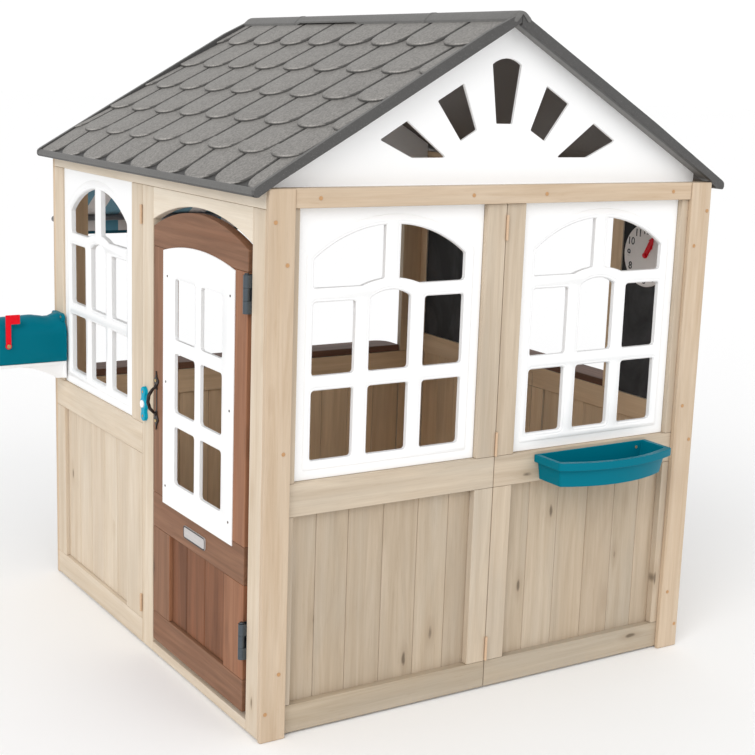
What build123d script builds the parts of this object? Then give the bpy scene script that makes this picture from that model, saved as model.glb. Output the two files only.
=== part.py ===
# Child's garden playhouse: timber wall panels with moulded windows, an arched
# door, a pitched shingle roof, two counters, an awning, a mailbox, a flower
# box, a door bell and a toy clock.
#
# House coordinates used in every sketch, in millimetres:
#   x runs along the gabled front wall, 0 at the outer face of the door wall,
#   y runs from the front (0) to the back wall, z is up from the ground.
# The planes are shifted so that the origin of the finished part is the centre
# of its overall footprint, at ground level.
from build123d import *
from math import atan2, cos, hypot, radians, sin, sqrt
import os

os.makedirs("parts", exist_ok=True)

# ---------------------------------------------------------------- main sizes
WIDTH = 1118.0                    # over the side walls
DEPTH = 1153.0                    # over the corner boards
WALL_TOP = 1100.0
X_MIN, X_MAX = -228.0, 1182.0     # mailbox door to the edge of the side counter
Y_MIN, Y_MAX = -110.0, 1374.0     # flower box to the edge of the awning
SHIFT_X = -(X_MIN + X_MAX) / 2
SHIFT_Y = -(Y_MIN + Y_MAX) / 2

BOARD_W, BOARD_T = 57.0, 12.0     # corner boards
SIDE_T = 20.0                     # side wall and door frames
FRAME_T = 18.0                    # front and back wall frames
FRONT_OUT = BOARD_T               # outer and inner faces of the front panels
FRONT_IN = FRONT_OUT + FRAME_T
BACK_OUT = DEPTH - BOARD_T        # outer and inner faces of the back panels
BACK_IN = BACK_OUT - FRAME_T
RIGHT_IN = WIDTH - SIDE_T         # inner face of the right wall

PANEL_LOW = 4.0                   # panels hang this far off the ground
RAIL_TOP = 61.0                   # top of the bottom rails
FRONT_RAIL_TOP = 63.5
FRONT_MID = (458.0, 526.0)        # middle rails: underside and top
LEFT_MID = (FRONT_MID[0] - 2, FRONT_MID[1])
BACK_MID = (456.0, 520.0)
RIGHT_MID = (520.0, 574.5)
HEAD = 1061.0                     # underside of the side walls' top rails
GABLE_HEAD = HEAD + 1             # the same on the front and back walls
FIT = 0.4                         # clearance between frame members
PLANK_FIT = 0.5                   # clearance between planks and rails

SEAM_X = 557.8                    # fold seam of the front and back walls
SEAM_GAP = 0.8                    # half gap at that seam
SEAM_Y = 588.4                    # panel seam of the door wall
SEAM_Y_GAP = 0.5
FRAME_X0 = SIDE_T + 0.5           # ends of the front and back panels
FRAME_X1 = WIDTH - FRAME_X0
SIDE_Y0 = BOARD_T + FIT           # ends of the side walls
SIDE_Y1 = BACK_OUT - FIT
HALVES = [(FRAME_X0, SEAM_X - SEAM_GAP), (SEAM_X + SEAM_GAP, FRAME_X1)]

# moulded window insert, shared by the front wall and the door wall
WINDOW_W = 436.0
WINDOW_T = 14.0
LEFT_OPENING = (73.0, 73.0 + WINDOW_W)           # x, front wall
RIGHT_OPENING = (607.0, 607.0 + WINDOW_W)        # x, front wall
SIDE_OPENING = (649.5, 649.5 + WINDOW_W)         # y, door wall


# ------------------------------------------------------------------- planes
def front(y):
    """Plane facing the front: local (x, y) is house (x, z)."""
    return Plane(origin=(SHIFT_X, SHIFT_Y + y, 0), x_dir=(1, 0, 0), z_dir=(0, -1, 0))


def rear(y):
    """Plane facing the back: local (x, y) is house (-x, z)."""
    return Plane(origin=(SHIFT_X, SHIFT_Y + y, 0), x_dir=(-1, 0, 0), z_dir=(0, 1, 0))


def side(x):
    """Plane facing +X: local (x, y) is house (y, z)."""
    return Plane(origin=(SHIFT_X + x, SHIFT_Y, 0), x_dir=(0, 1, 0), z_dir=(1, 0, 0))


def outside(x):
    """Plane facing -X: local (x, y) is house (-y, z)."""
    return Plane(origin=(SHIFT_X + x, SHIFT_Y, 0), x_dir=(0, -1, 0), z_dir=(-1, 0, 0))


def floor(z):
    """Plane facing up: local (x, y) is house (x, y)."""
    return Plane(origin=(SHIFT_X, SHIFT_Y, z), x_dir=(1, 0, 0), z_dir=(0, 0, 1))


# ------------------------------------------------------------ shape helpers
def rect(across0, across1, up0, up1):
    """A rectangle given by its limits."""
    with Locations(((across0 + across1) / 2, (up0 + up1) / 2)):
        Rectangle(abs(across1 - across0), abs(up1 - up0))


def disc(across, up, radius, mode=Mode.ADD):
    with Locations((across, up)):
        Circle(radius, mode=mode)


def poly(points, mode=Mode.ADD):
    Polygon(*points, align=None, mode=mode)


def arched(across0, across1, base, spring, peak, corner=0):
    """Flat base, straight sides to spring, and an arc through peak. A corner
    radius rounds the two vertices lowest in the sketch."""
    with BuildSketch(Plane.XY) as outline:
        with BuildLine():
            Polyline((across0, spring), (across0, base), (across1, base), (across1, spring))
            ThreePointArc((across1, spring), ((across0 + across1) / 2, peak), (across0, spring))
        make_face()
        if corner:
            fillet(vertices().group_by(Axis.Y)[0], radius=corner)
    return outline.sketch


def bars(spans, low, high):
    """Rectangle limits for several spans of one height."""
    return [(start, end, low, high) for start, end in spans]


def planks(cuts, low, high, gap=0.05):
    """Rectangle limits for planks between successive cuts."""
    return [(start + gap, end - gap, low, high) for start, end in zip(cuts, cuts[1:])]


def save(part, name):
    part.label = name
    export_step(part, f"parts/{name}.step")


def save_boards(name, depth, limits, *planes):
    """A piece made of the same rectangles extruded from each plane."""
    with BuildPart() as piece:
        for plane in planes:
            with BuildSketch(plane):
                for limit in limits:
                    rect(*limit)
            extrude(amount=depth)
    save(piece.part, name)


def save_rods(name, rods):
    """A piece made of cylinders: (plane, across, up, radius, length)."""
    with BuildPart() as piece:
        for plane, across, up, radius, length in rods:
            with BuildSketch(plane):
                disc(across, up, radius)
            extrude(amount=length)
    save(piece.part, name)


# --------------------------------------------------- corner boards and trims
save_boards("corner_boards", -BOARD_T,
            bars([(0, BOARD_W), (WIDTH - BOARD_W, WIDTH)], 0, WALL_TOP),
            front(0), front(BACK_OUT))

TRIM_T = 8.5
TRIM_Y = FRONT_OUT - TRIM_T       # outer face of the front trim
TRIM_END = BOARD_W + 0.8
save_boards("top_trims", -TRIM_T, [(TRIM_END, WIDTH - TRIM_END, 1062.3, WALL_TOP)],
            front(TRIM_Y), front(BACK_OUT))

# --------------------------------------------------------------- front wall
# Two half panels that fold at the middle seam.
FRONT_STILES = [(FRAME_X0, LEFT_OPENING[0]), (LEFT_OPENING[1], SEAM_X - SEAM_GAP),
                (SEAM_X + SEAM_GAP, RIGHT_OPENING[0]), (RIGHT_OPENING[1], FRAME_X1)]
FRONT_CUTS_LEFT = [60, 135, 210, 294, 379, 456, 522]
FRONT_CUTS_RIGHT = [594, 672, 753, 838, 918, 991, 1057]
FRONT_PLANK_Z = (50, 474)
FRONT_PLANK_T = 9

save_boards("front_bottom_rails", -FRAME_T, bars(HALVES, PANEL_LOW, FRONT_RAIL_TOP),
            front(FRONT_OUT))
save_boards("front_mid_rails", -FRAME_T, bars(HALVES, *FRONT_MID), front(FRONT_OUT))
save_boards("front_top_rails", -FRAME_T, bars(HALVES, GABLE_HEAD, WALL_TOP), front(FRONT_OUT))
save_boards("front_stiles", -FRAME_T,
            bars(FRONT_STILES, FRONT_RAIL_TOP + FIT, FRONT_MID[0] - FIT)
            + bars(FRONT_STILES, FRONT_MID[1] + FIT, GABLE_HEAD - FIT),
            front(FRONT_OUT))
save_boards("front_planks", -FRONT_PLANK_T,
            planks(FRONT_CUTS_LEFT, *FRONT_PLANK_Z) + planks(FRONT_CUTS_RIGHT, *FRONT_PLANK_Z),
            front(FRONT_IN))

# ----------------------------------------------------- moulded window insert
# Two arch-topped panes over two rows of three; the centre pane of the upper
# of these rows is arched too.
WINDOW_MARGIN = 40.0
WINDOW_BAR = 32.5                 # bar between panes
PANE_W = (WINDOW_W - 2 * WINDOW_MARGIN - 2 * WINDOW_BAR) / 3
PANE_R = 8.0                      # corner radius
LOW_ROW = (563.0, 704.5)
MIDDLE_ROW = (733.5, 878.5)
CENTRE_SIDE, CENTRE_TOP = 881.0, 895.5    # arch of the centre pane
TOP_ROW_LOW, ARCH_SIDE, ARCH_TOP = 906.0, 962.0, 1025.5
HUMP, HUMP_TOP = 68.0, 919.0      # half width and top of the hump under the top panes


def arch_z(across, start, end, z_side, z_top):
    """Height of a circular arch that springs from z_side at start and end."""
    half = (end - start) / 2
    rise = z_top - z_side
    radius = (half * half + rise * rise) / (2 * rise)
    offset = across - (start + end) / 2
    return z_top - radius + sqrt(radius * radius - offset * offset)


def pane(outline, sharp=None):
    """One pane's opening. The outline is a list of points; an item of four
    numbers is an arc's middle point and its end. Corners are rounded, except
    the one at sharp."""
    with BuildSketch(Plane.XY) as opening:
        with BuildLine():
            here = outline[0]
            for item in outline[1:] + [outline[0]]:
                target = item[-2:]
                if len(item) == 4:
                    ThreePointArc(here, item[:2], target)
                else:
                    Line(here, target)
                here = target
        make_face()
        corners = [v for v in vertices()
                   if sharp is None or abs(v.X - sharp[0]) + abs(v.Y - sharp[1]) >= 0.01]
        fillet(corners, radius=PANE_R)
    return opening.sketch


def window_panes(edge, direction):
    """All eight panes, measured along the wall from one edge of the moulding
    in the direction +1 or -1."""
    centre = WINDOW_W / 2
    panes = []

    def at(across, z):
        return (edge + direction * across, z)

    def arch(across):
        return arch_z(across, WINDOW_MARGIN, WINDOW_W - WINDOW_MARGIN, ARCH_SIDE, ARCH_TOP)

    def hump(across):
        return arch_z(across, centre - HUMP, centre + HUMP, TOP_ROW_LOW, HUMP_TOP)

    def square_pane(start, end, low, high):
        return pane([at(start, low), at(end, low), at(end, high), at(start, high)])

    for i in range(3):
        start = WINDOW_MARGIN + i * (PANE_W + WINDOW_BAR)
        end = start + PANE_W
        panes.append(square_pane(start, end, *LOW_ROW))
        if i == 1:
            panes.append(pane([
                at(start, MIDDLE_ROW[0]), at(end, MIDDLE_ROW[0]), at(end, CENTRE_SIDE),
                at((start + end) / 2, CENTRE_TOP) + at(start, CENTRE_SIDE)]))
        else:
            panes.append(square_pane(start, end, *MIDDLE_ROW))

    for half in (1, -1):
        inner = centre - half * WINDOW_BAR / 2
        foot = centre - half * HUMP
        outer = centre - half * (centre - WINDOW_MARGIN)
        on_hump = (foot + inner) / 2
        on_arch = (inner + outer) / 2
        panes.append(pane([
            at(outer, TOP_ROW_LOW), at(foot, TOP_ROW_LOW),
            at(on_hump, hump(on_hump)) + at(inner, hump(inner)),
            at(inner, arch(inner)),
            at(on_arch, arch(on_arch)) + at(outer, ARCH_SIDE)], sharp=at(foot, TOP_ROW_LOW)))
    return panes


WINDOW_Y = 24                     # outer face of the front windows
FLANGE = 12                       # overlap of their inner flange
FLANGE_T = 7.8


def save_front_window(name, x0):
    with BuildPart() as window:
        with BuildSketch(front(WINDOW_Y)):
            rect(x0 + 0.5, x0 + WINDOW_W - 0.5, FRONT_MID[1] + 0.5, GABLE_HEAD - 0.5)
        extrude(amount=WINDOW_Y - FRONT_IN)
        with BuildSketch(front(FRONT_IN)):
            rect(x0 - FLANGE, x0 + WINDOW_W + FLANGE, FRONT_MID[1] - FLANGE, GABLE_HEAD + FLANGE)
        extrude(amount=-FLANGE_T)
        for opening in window_panes(x0, 1):
            with BuildSketch(front(WINDOW_Y)):
                add(opening)
            extrude(amount=-WINDOW_T, mode=Mode.SUBTRACT)
    save(window.part, name)


save_front_window("front_window_left", LEFT_OPENING[0])
save_front_window("front_window_right", RIGHT_OPENING[0])

# ------------------------------------------------------------ door wall (x=0)
LEFT_Y0 = SEAM_Y + SEAM_Y_GAP
LEFT_CUTS = [682.5, 763, 844, 925, 1006, 1084.5]
save_boards("left_rails", SIDE_T,
            [(LEFT_Y0, SIDE_Y1, PANEL_LOW, RAIL_TOP), (LEFT_Y0, SIDE_Y1, *LEFT_MID)], side(0))
save_boards("left_top_rail", SIDE_T, [(SIDE_Y0, SIDE_Y1, HEAD, WALL_TOP)], side(0))
save_boards("left_stiles", SIDE_T,
            bars([(LEFT_Y0, 682), (1085, SIDE_Y1)], RAIL_TOP + FIT, LEFT_MID[0] - FIT)
            + bars([(LEFT_Y0, SIDE_OPENING[0] - FIT), (SIDE_OPENING[1] + FIT, SIDE_Y1)],
                   LEFT_MID[1] + FIT, HEAD - FIT),
            side(0))
save_boards("left_planks", 9,
            planks(LEFT_CUTS, RAIL_TOP + PLANK_FIT, LEFT_MID[0] - PLANK_FIT), side(9.5))

LEFT_WINDOW_X = 5
with BuildPart() as left_window:
    with BuildSketch(side(LEFT_WINDOW_X)):
        rect(SIDE_OPENING[0] + 0.3, SIDE_OPENING[1] - 0.3, LEFT_MID[1] + 0.5, HEAD - 0.5)
    extrude(amount=WINDOW_T)
    for opening in window_panes(SIDE_OPENING[1], -1):
        with BuildSketch(side(LEFT_WINDOW_X)):
            add(opening)
        extrude(amount=WINDOW_T, mode=Mode.SUBTRACT)
save(left_window.part, "left_window")

DOORWAY = (64.0, 529.6)           # y limits of the door opening
HEADER_Y0, HEADER_Y1 = DOORWAY[0] + 0.4, DOORWAY[1] - 0.2
HEADER_SIDE, HEADER_PEAK = 991.5, 1036.0
SILL_TOP = 26
save_boards("door_posts", SIDE_T,
            bars([(SIDE_Y0, DOORWAY[0]), (DOORWAY[1] + 0.2, SEAM_Y - SEAM_Y_GAP)],
                 PANEL_LOW, HEAD - FIT),
            side(0))

# Arched head over the door
with BuildPart() as door_header:
    with BuildSketch(side(0)):
        with BuildLine():
            ThreePointArc((HEADER_Y0, HEADER_SIDE), ((HEADER_Y0 + HEADER_Y1) / 2, HEADER_PEAK),
                          (HEADER_Y1, HEADER_SIDE))
            Polyline((HEADER_Y1, HEADER_SIDE), (HEADER_Y1, HEAD - FIT),
                     (HEADER_Y0, HEAD - FIT), (HEADER_Y0, HEADER_SIDE))
        make_face()
    extrude(amount=SIDE_T)
save(door_header.part, "door_header")

save_boards("door_sill", SIDE_T, [(HEADER_Y0, HEADER_Y1, PANEL_LOW, SILL_TOP)], side(0))

# ------------------------------------------------------------------ back wall
BACK_POST = 81.0                  # inner edge of the end stiles
BACK_ENDS = [(FRAME_X0, BACK_POST), (WIDTH - BACK_POST, FRAME_X1)]
BACK_CENTRE = [(509.0, SEAM_X - SEAM_GAP), (SEAM_X + SEAM_GAP, 607.0)]
BACK_CUTS_LEFT = [81.4, 167, 252, 338, 423, 508.6]
BACK_CUTS_RIGHT = [607.4, 693, 779, 865, 951, 1036.6]
BACK_PLANK_Z = (RAIL_TOP + PLANK_FIT, BACK_MID[0] - PLANK_FIT)
save_boards("back_rails", -FRAME_T,
            bars(HALVES, PANEL_LOW, RAIL_TOP) + bars(HALVES, *BACK_MID)
            + bars(HALVES, GABLE_HEAD, WALL_TOP),
            front(BACK_IN))
save_boards("back_stiles", -FRAME_T,
            bars(BACK_ENDS + BACK_CENTRE, RAIL_TOP + FIT, BACK_MID[0] - FIT)
            + bars(BACK_ENDS, BACK_MID[1] + FIT, GABLE_HEAD - FIT),
            front(BACK_IN))
save_boards("back_planks", -9,
            planks(BACK_CUTS_LEFT, *BACK_PLANK_Z) + planks(BACK_CUTS_RIGHT, *BACK_PLANK_Z),
            front(BACK_IN + 4.5))

# --------------------------------------------------- right wall (x = WIDTH)
RIGHT_HALVES = [(SIDE_Y0, 576.0), (577.0, SIDE_Y1)]
RIGHT_STILES_LOW = [(SIDE_Y0, 57), (530, 576), (577, 623), (1096, SIDE_Y1)]
RIGHT_STILES_HIGH = [(SIDE_Y0, 57), (262, 300), (853, 891), (1096, SIDE_Y1)]
RIGHT_CUTS_FRONT = [57.4, 136, 215, 294, 373, 452, 529.6]
RIGHT_CUTS_BACK = [623.4, 702, 781, 860, 939, 1018, 1095.6]
RIGHT_PLANK_Z = (RAIL_TOP + PLANK_FIT, RIGHT_MID[0] - PLANK_FIT)
CHALKBOARDS = [(57.5, 261.5), (891.5, 1095.5)]
save_boards("right_rails", SIDE_T,
            bars(RIGHT_HALVES, PANEL_LOW, RAIL_TOP) + bars(RIGHT_HALVES, *RIGHT_MID)
            + bars(RIGHT_HALVES, HEAD, WALL_TOP),
            side(RIGHT_IN))
save_boards("right_stiles", SIDE_T,
            bars(RIGHT_STILES_LOW, RAIL_TOP + FIT, RIGHT_MID[0] - FIT)
            + bars(RIGHT_STILES_HIGH, RIGHT_MID[1] + FIT, HEAD - FIT),
            side(RIGHT_IN))
save_boards("right_planks", 9,
            planks(RIGHT_CUTS_FRONT, *RIGHT_PLANK_Z) + planks(RIGHT_CUTS_BACK, *RIGHT_PLANK_Z),
            side(RIGHT_IN + 5.5))
# Two writing boards held between the upper stiles
save_boards("chalkboards", 6, bars(CHALKBOARDS, RIGHT_MID[1] + 0.8, HEAD - 0.5),
            side(RIGHT_IN + 4))

# ------------------------------------------------------------------ counters
COUNTER_R = 42                    # plan radius of the outer corners
COUNTER_EDGE_R = 3


def save_counter(name, rail_top, thickness, limits, outward):
    """A board on a middle rail, its outer corners rounded."""
    with BuildPart() as counter:
        with BuildSketch(floor(rail_top + FIT)):
            rect(*limits)
            fillet(vertices().group_by(outward)[-1], radius=COUNTER_R)
        extrude(amount=thickness)
        fillet(faces().sort_by(Axis.Z)[-1].edges(), radius=COUNTER_EDGE_R)
    save(counter.part, name)


save_counter("back_counter", BACK_MID[1], 18,
             (BACK_POST + 1, WIDTH - BACK_POST - 1, 1128, 1215), Axis.Y)
save_counter("right_counter", RIGHT_MID[1], 16.5, (RIGHT_IN + 1, X_MAX, 301, 852), Axis.X)

# -------------------------------------------------------------------- gables
EAVE_X, EAVE_Z = -34.0, 1107.0    # roof edge beyond the door wall
RIDGE_X, RIDGE_Z = WIDTH / 2, 1441.0
SLOPE = (RIDGE_Z - EAVE_Z) / (RIDGE_X - EAVE_X)
GABLE_T = 8
GABLE_END = 22                    # x of the plate's edge
GABLE_LOW = 1068
GABLE_DROP = 12.5                 # plate edge below the roof face
# Sunburst cut-outs: (x from the ridge line, z)
CENTRE_RAY = [(-36.5, 1339.5), (-20.5, 1221.5), (20.5, 1221.5), (36.5, 1339.5)]
CENTRE_RAY_TOP = 1352
SIDE_RAYS = [
    [(-107, 1186.5), (-68, 1208.8), (-105.3, 1299.6), (-166.5, 1264.3)],
    [(-223, 1153.3), (-141, 1153.3), (-237, 1224.7), (-298.7, 1188)],
]


def roof_top(x):
    """Height of the roof face at x."""
    return EAVE_Z + (min(x, WIDTH - x) - EAVE_X) * SLOPE


def save_gable(name, face_y, rail_y, outward):
    """A gable plate with its outer face at face_y and a step out to the inner
    face of the top rail, rail_y; outward is +1 at the front, -1 at the back."""
    edge_z = roof_top(GABLE_END) - GABLE_DROP
    with BuildPart() as plate:
        with BuildSketch(front(face_y)):
            poly([(GABLE_END, GABLE_LOW), (WIDTH - GABLE_END, GABLE_LOW),
                  (WIDTH - GABLE_END, edge_z), (RIDGE_X, RIDGE_Z - GABLE_DROP),
                  (GABLE_END, edge_z)])
            ray = [(RIDGE_X + across, z) for across, z in CENTRE_RAY]
            with BuildLine():
                Polyline(*ray)
                ThreePointArc(ray[-1], (RIDGE_X, CENTRE_RAY_TOP), ray[0])
            make_face(mode=Mode.SUBTRACT)
            for side_ray in SIDE_RAYS:
                for mirror in (1, -1):
                    poly([(RIDGE_X + mirror * across, z) for across, z in side_ray],
                         mode=Mode.SUBTRACT)
        extrude(amount=-GABLE_T * outward)
        with BuildSketch(front(face_y)):
            rect(24, WIDTH - 24, 1075, 1098)
        extrude(amount=outward * (abs(face_y - rail_y) - 0.3))
    save(plate.part, name)


save_gable("front_gable", 38.0, FRONT_IN, 1)
save_gable("rear_gable", 1115.0, BACK_IN, -1)

# ---------------------------------------------------------------------- roof
# Each slope is one moulding: a skin stepped into six shingle courses, a deep
# rim round the eave and rakes, and a lower band behind the rim that closes
# over the gable.
ROOF_Y0, ROOF_Y1 = -4.0, 1172.0
COURSES = 6
COURSE_START = 20
SLOPE_LENGTH = hypot(RIDGE_X - EAVE_X, RIDGE_Z - EAVE_Z)
PITCH = atan2(RIDGE_Z - EAVE_Z, RIDGE_X - EAVE_X)
RIDGE_END = RIDGE_X - 0.4         # where each slope stops short of the ridge
RIM_W = 12                        # width of the rake rims
RIM_DEPTH = 24.5
BAND_DEPTH = 44.0
BAND_TOP_DROP = 8
BAND_LOW = 1100.6
BAND_X0 = 0.5
BAND_FRONT, BAND_REAR = 37.5, 1115.5     # faces of the bands next to the gables


def on_slope(along, above):
    """Point at a distance up the slope from the eave and above its face."""
    return (EAVE_X + along * cos(PITCH) - above * sin(PITCH),
            EAVE_Z + along * sin(PITCH) + above * cos(PITCH))


def below_roof(x, drop):
    return (x, roof_top(x) - drop)


def save_roof_panel(name, right):
    course = (SLOPE_LENGTH - 5.0 - COURSE_START) / COURSES
    skin = [on_slope(0, -10), on_slope(0, -1.5), on_slope(18, -1.5)]
    for k in range(COURSES):
        skin.append(on_slope(COURSE_START + k * course, 0 if k else -0.5))
        skin.append(on_slope(COURSE_START + (k + 1) * course - 0.5, -5.5))
    skin += [below_roof(RIDGE_END, 6), below_roof(RIDGE_END, 11.5)]
    eave = [on_slope(0, 0), on_slope(12, 0),
            below_roof(EAVE_X + 20, RIM_DEPTH), below_roof(EAVE_X + 8, RIM_DEPTH)]
    rim = [on_slope(0, 0), below_roof(RIDGE_END, 0),
           below_roof(RIDGE_END, RIM_DEPTH), below_roof(EAVE_X + 8, RIM_DEPTH)]
    band_foot_x = EAVE_X + (BAND_LOW + BAND_DEPTH - EAVE_Z) / SLOPE
    band = [(band_foot_x, BAND_LOW), below_roof(RIDGE_END, BAND_DEPTH),
            below_roof(RIDGE_END, BAND_TOP_DROP), below_roof(BAND_X0, BAND_TOP_DROP),
            (BAND_X0, BAND_LOW)]
    layers = [
        (skin, ROOF_Y0, ROOF_Y1),
        (eave, ROOF_Y0, ROOF_Y1),
        (rim, ROOF_Y0, ROOF_Y0 + RIM_W),
        (rim, ROOF_Y1 - RIM_W, ROOF_Y1),
        (band, ROOF_Y0 + RIM_W, BAND_FRONT),
        (band, BAND_REAR, ROOF_Y1 - RIM_W),
    ]
    with BuildPart() as panel:
        for outline, y0, y1 in layers:
            with BuildSketch(front(y0)):
                poly([(WIDTH - x if right else x, z) for x, z in outline])
            extrude(amount=-(y1 - y0))
    save(panel.part, name)


save_roof_panel("left_roof_panel", right=False)
save_roof_panel("right_roof_panel", right=True)

# Ridge cap in three lengths, rounded on top
CAP_HALF = 30.0
CAP_ROUND = 11                    # half width of the rounded top
CAP_T = 8.2
CAP_LENGTHS = [(-6.0, 312.0), (312.8, 892.0), (892.8, 1174.0)]    # y limits
with BuildPart() as ridge_caps:
    leg_z = roof_top(RIDGE_X - CAP_HALF)
    round_left = (RIDGE_X - CAP_ROUND, RIDGE_Z + 1.5)
    round_right = (RIDGE_X + CAP_ROUND, RIDGE_Z + 1.5)
    for y0, y1 in CAP_LENGTHS:
        with BuildSketch(front(y0)):
            with BuildLine():
                Polyline(round_left, (RIDGE_X - CAP_HALF, leg_z + CAP_T),
                         (RIDGE_X - CAP_HALF, leg_z + 0.3), (RIDGE_X, RIDGE_Z + 0.3),
                         (RIDGE_X + CAP_HALF, leg_z + 0.3), (RIDGE_X + CAP_HALF, leg_z + CAP_T),
                         round_right)
                ThreePointArc(round_right, (RIDGE_X, RIDGE_Z + 6), round_left)
            make_face()
        extrude(amount=-(y1 - y0))
save(ridge_caps.part, "ridge_caps")

# -------------------------------------------------------------------- awning
COVER_X0 = 90.0
BAR_Y, BAR_Z, BAR_R = 1361.0, 906.0, 8.0
BAR_BEND_R = 30
ARM_X = 68.5                      # arm centre line from each side of the house
ARM_Y, ARM_Z = BACK_OUT + 3.2, 925       # where the arms meet the wall
ARM_PLATE_HALF, ARM_PLATE_T = 10.8, 3.5
with BuildPart() as awning_frame:
    # bent tube: two arms from the wall posts and the outer bar between them
    arm_left, arm_right = SHIFT_X + ARM_X, SHIFT_X + WIDTH - ARM_X
    with BuildLine() as path:
        FilletPolyline((arm_left, SHIFT_Y + ARM_Y, ARM_Z), (arm_left, SHIFT_Y + BAR_Y, BAR_Z),
                       (arm_right, SHIFT_Y + BAR_Y, BAR_Z), (arm_right, SHIFT_Y + ARM_Y, ARM_Z),
                       radius=BAR_BEND_R)
    with BuildSketch(Plane(origin=path.line @ 0, z_dir=path.line % 0)):
        Circle(BAR_R)
    sweep(path=path.line)
    with BuildSketch(front(BACK_OUT)):
        for x in (ARM_X, WIDTH - ARM_X):
            rect(x - ARM_PLATE_HALF, x + ARM_PLATE_HALF, 890, 960)
    extrude(amount=-ARM_PLATE_T)
save(awning_frame.part, "awning_frame")

# Fabric section (y, z): a sloping sheet from the wall over the bar, with a valance
COVER_SECTION = [(BACK_OUT + 9, 1066), (BACK_OUT + 9, 1070), (1372.5, 921.5), (Y_MAX, 917),
                 (Y_MAX, 861), (1371.0, 861), (1371.0, 916.5), (1368, 918.5)]
with BuildPart() as awning_cover:
    with BuildSketch(side(COVER_X0)):
        poly(COVER_SECTION)
    extrude(amount=WIDTH - 2 * COVER_X0)
save(awning_cover.part, "awning_cover")

# ---------------------------------------------------------------- flower box
BOX_X0, BOX_X1 = 664.0, 983.0
BOX_LOW, BOX_TOP = 462.0, 519.5
BOX_LIP = 17                      # height of the lip
BOX_BACK = FRONT_OUT - 0.3
BOX_INNER_BACK = FRONT_OUT - 5


def bowed(inset, side_y, front_y, back_y, corner=0):
    """Plan outline of the box: straight back and sides, bowed front."""
    return arched(BOX_X0 + inset, BOX_X1 - inset, back_y, side_y, front_y, corner)


with BuildPart() as flower_box:
    with BuildSketch(floor(BOX_LOW)):
        add(bowed(17, -60, -93, BOX_BACK, corner=8))
    with BuildSketch(floor(BOX_TOP - 3)):
        add(bowed(8, -68, -102, BOX_BACK, corner=8))
    loft()
    with BuildSketch(floor(BOX_TOP - BOX_LIP)):
        add(bowed(0, -76, Y_MIN, BOX_BACK, corner=10))
    extrude(amount=BOX_LIP)
    # tapered hollow
    with BuildSketch(floor(BOX_LOW + 4)):
        add(bowed(21, -56, -88, BOX_INNER_BACK))
    with BuildSketch(floor(BOX_TOP + 0.1)):
        add(bowed(12, -63, -97, BOX_INNER_BACK))
    loft(mode=Mode.SUBTRACT)
save(flower_box.part, "flower_box")

# ------------------------------------------------------------------- mailbox
BOX_Y, BOX_R = 1113.0, 48.0       # mailbox centre line and radius
BOX_FLOOR = 580.0
BOX_SPRING = 648.0                # centre height of the half-round top
BOX_LENGTH = 222.0
BOX_WALL = 3
WALL_X = -0.3                     # mailbox end against the door wall
PIN_X, PIN_Z, PIN_R = -214.0, 575.0, 2.0          # door pin
FLAG_X, FLAG_Z, FLAG_PIN_R = -150.0, 629.0, 2.5   # flag pivot
FLAG_Y = 1059.5
FLAP_T = 3.5


def mailbox_outline(radius, floor_z):
    """End outline of the half-round box."""
    return arched(BOX_Y - radius, BOX_Y + radius, floor_z, BOX_SPRING, BOX_SPRING + radius)


with BuildPart() as mailbox_body:
    with BuildSketch(side(WALL_X)):
        add(mailbox_outline(BOX_R, BOX_FLOOR))
    extrude(amount=-(BOX_LENGTH - 4))
    with BuildSketch(side(-5)):
        add(mailbox_outline(BOX_R - BOX_WALL, BOX_FLOOR + BOX_WALL))
    extrude(amount=-BOX_LENGTH, mode=Mode.SUBTRACT)
    # fixing ear above the arch, against the wall
    with BuildSketch(side(WALL_X)):
        with Locations((BOX_Y, BOX_SPRING + 37)):
            SlotOverall(78, 26)
        disc(BOX_Y, BOX_SPRING, BOX_R - 1, mode=Mode.SUBTRACT)
    extrude(amount=-9)
    # hole for the flag's pivot screw
    with BuildSketch(front(BOX_Y - BOX_R - 2)):
        disc(FLAG_X, FLAG_Z, FLAG_PIN_R + 0.03)
    extrude(amount=-8, mode=Mode.SUBTRACT)
    # lugs for the door pin under the outer end
    for y in (BOX_Y - 30, BOX_Y + 30):
        with BuildSketch(side(-BOX_LENGTH + 4)):
            rect(y - 4, y + 4, PIN_Z - 4.5, BOX_FLOOR + 1)
        extrude(amount=10)
    with BuildSketch(front(BOX_Y - 36)):
        disc(PIN_X, PIN_Z, PIN_R + 0.03)
    extrude(amount=-72, mode=Mode.SUBTRACT)
save(mailbox_body.part, "mailbox_body")

with BuildPart() as mailbox_door:
    # end flap, hinged at the bottom on a pin under the box floor
    with BuildSketch(side(-BOX_LENGTH)):
        add(mailbox_outline(BOX_R + 1.5, BOX_FLOOR + 0.5))
    extrude(amount=-FLAP_T)
    # raised bar near the top
    with BuildSketch(side(-BOX_LENGTH - FLAP_T)):
        with Locations((BOX_Y, 668)):
            RectangleRounded(26, 9, 4)
    extrude(amount=-2.5)
    # bent tabs down to the pin
    for y in (BOX_Y - 18, BOX_Y + 18):
        with BuildSketch(front(y - 6)):
            disc(PIN_X, PIN_Z, 4.0)
            poly([(-BOX_LENGTH - FLAP_T, BOX_FLOOR + 0.6), (-BOX_LENGTH - FLAP_T, PIN_Z - 4),
                  (PIN_X, PIN_Z - 4), (PIN_X, PIN_Z + 2.5),
                  (-BOX_LENGTH - 0.2, PIN_Z + 2.5), (-BOX_LENGTH - 0.2, BOX_FLOOR + 0.6)])
            disc(PIN_X, PIN_Z, PIN_R + 0.05, mode=Mode.SUBTRACT)
        extrude(amount=-12)
save(mailbox_door.part, "mailbox_door")

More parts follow.
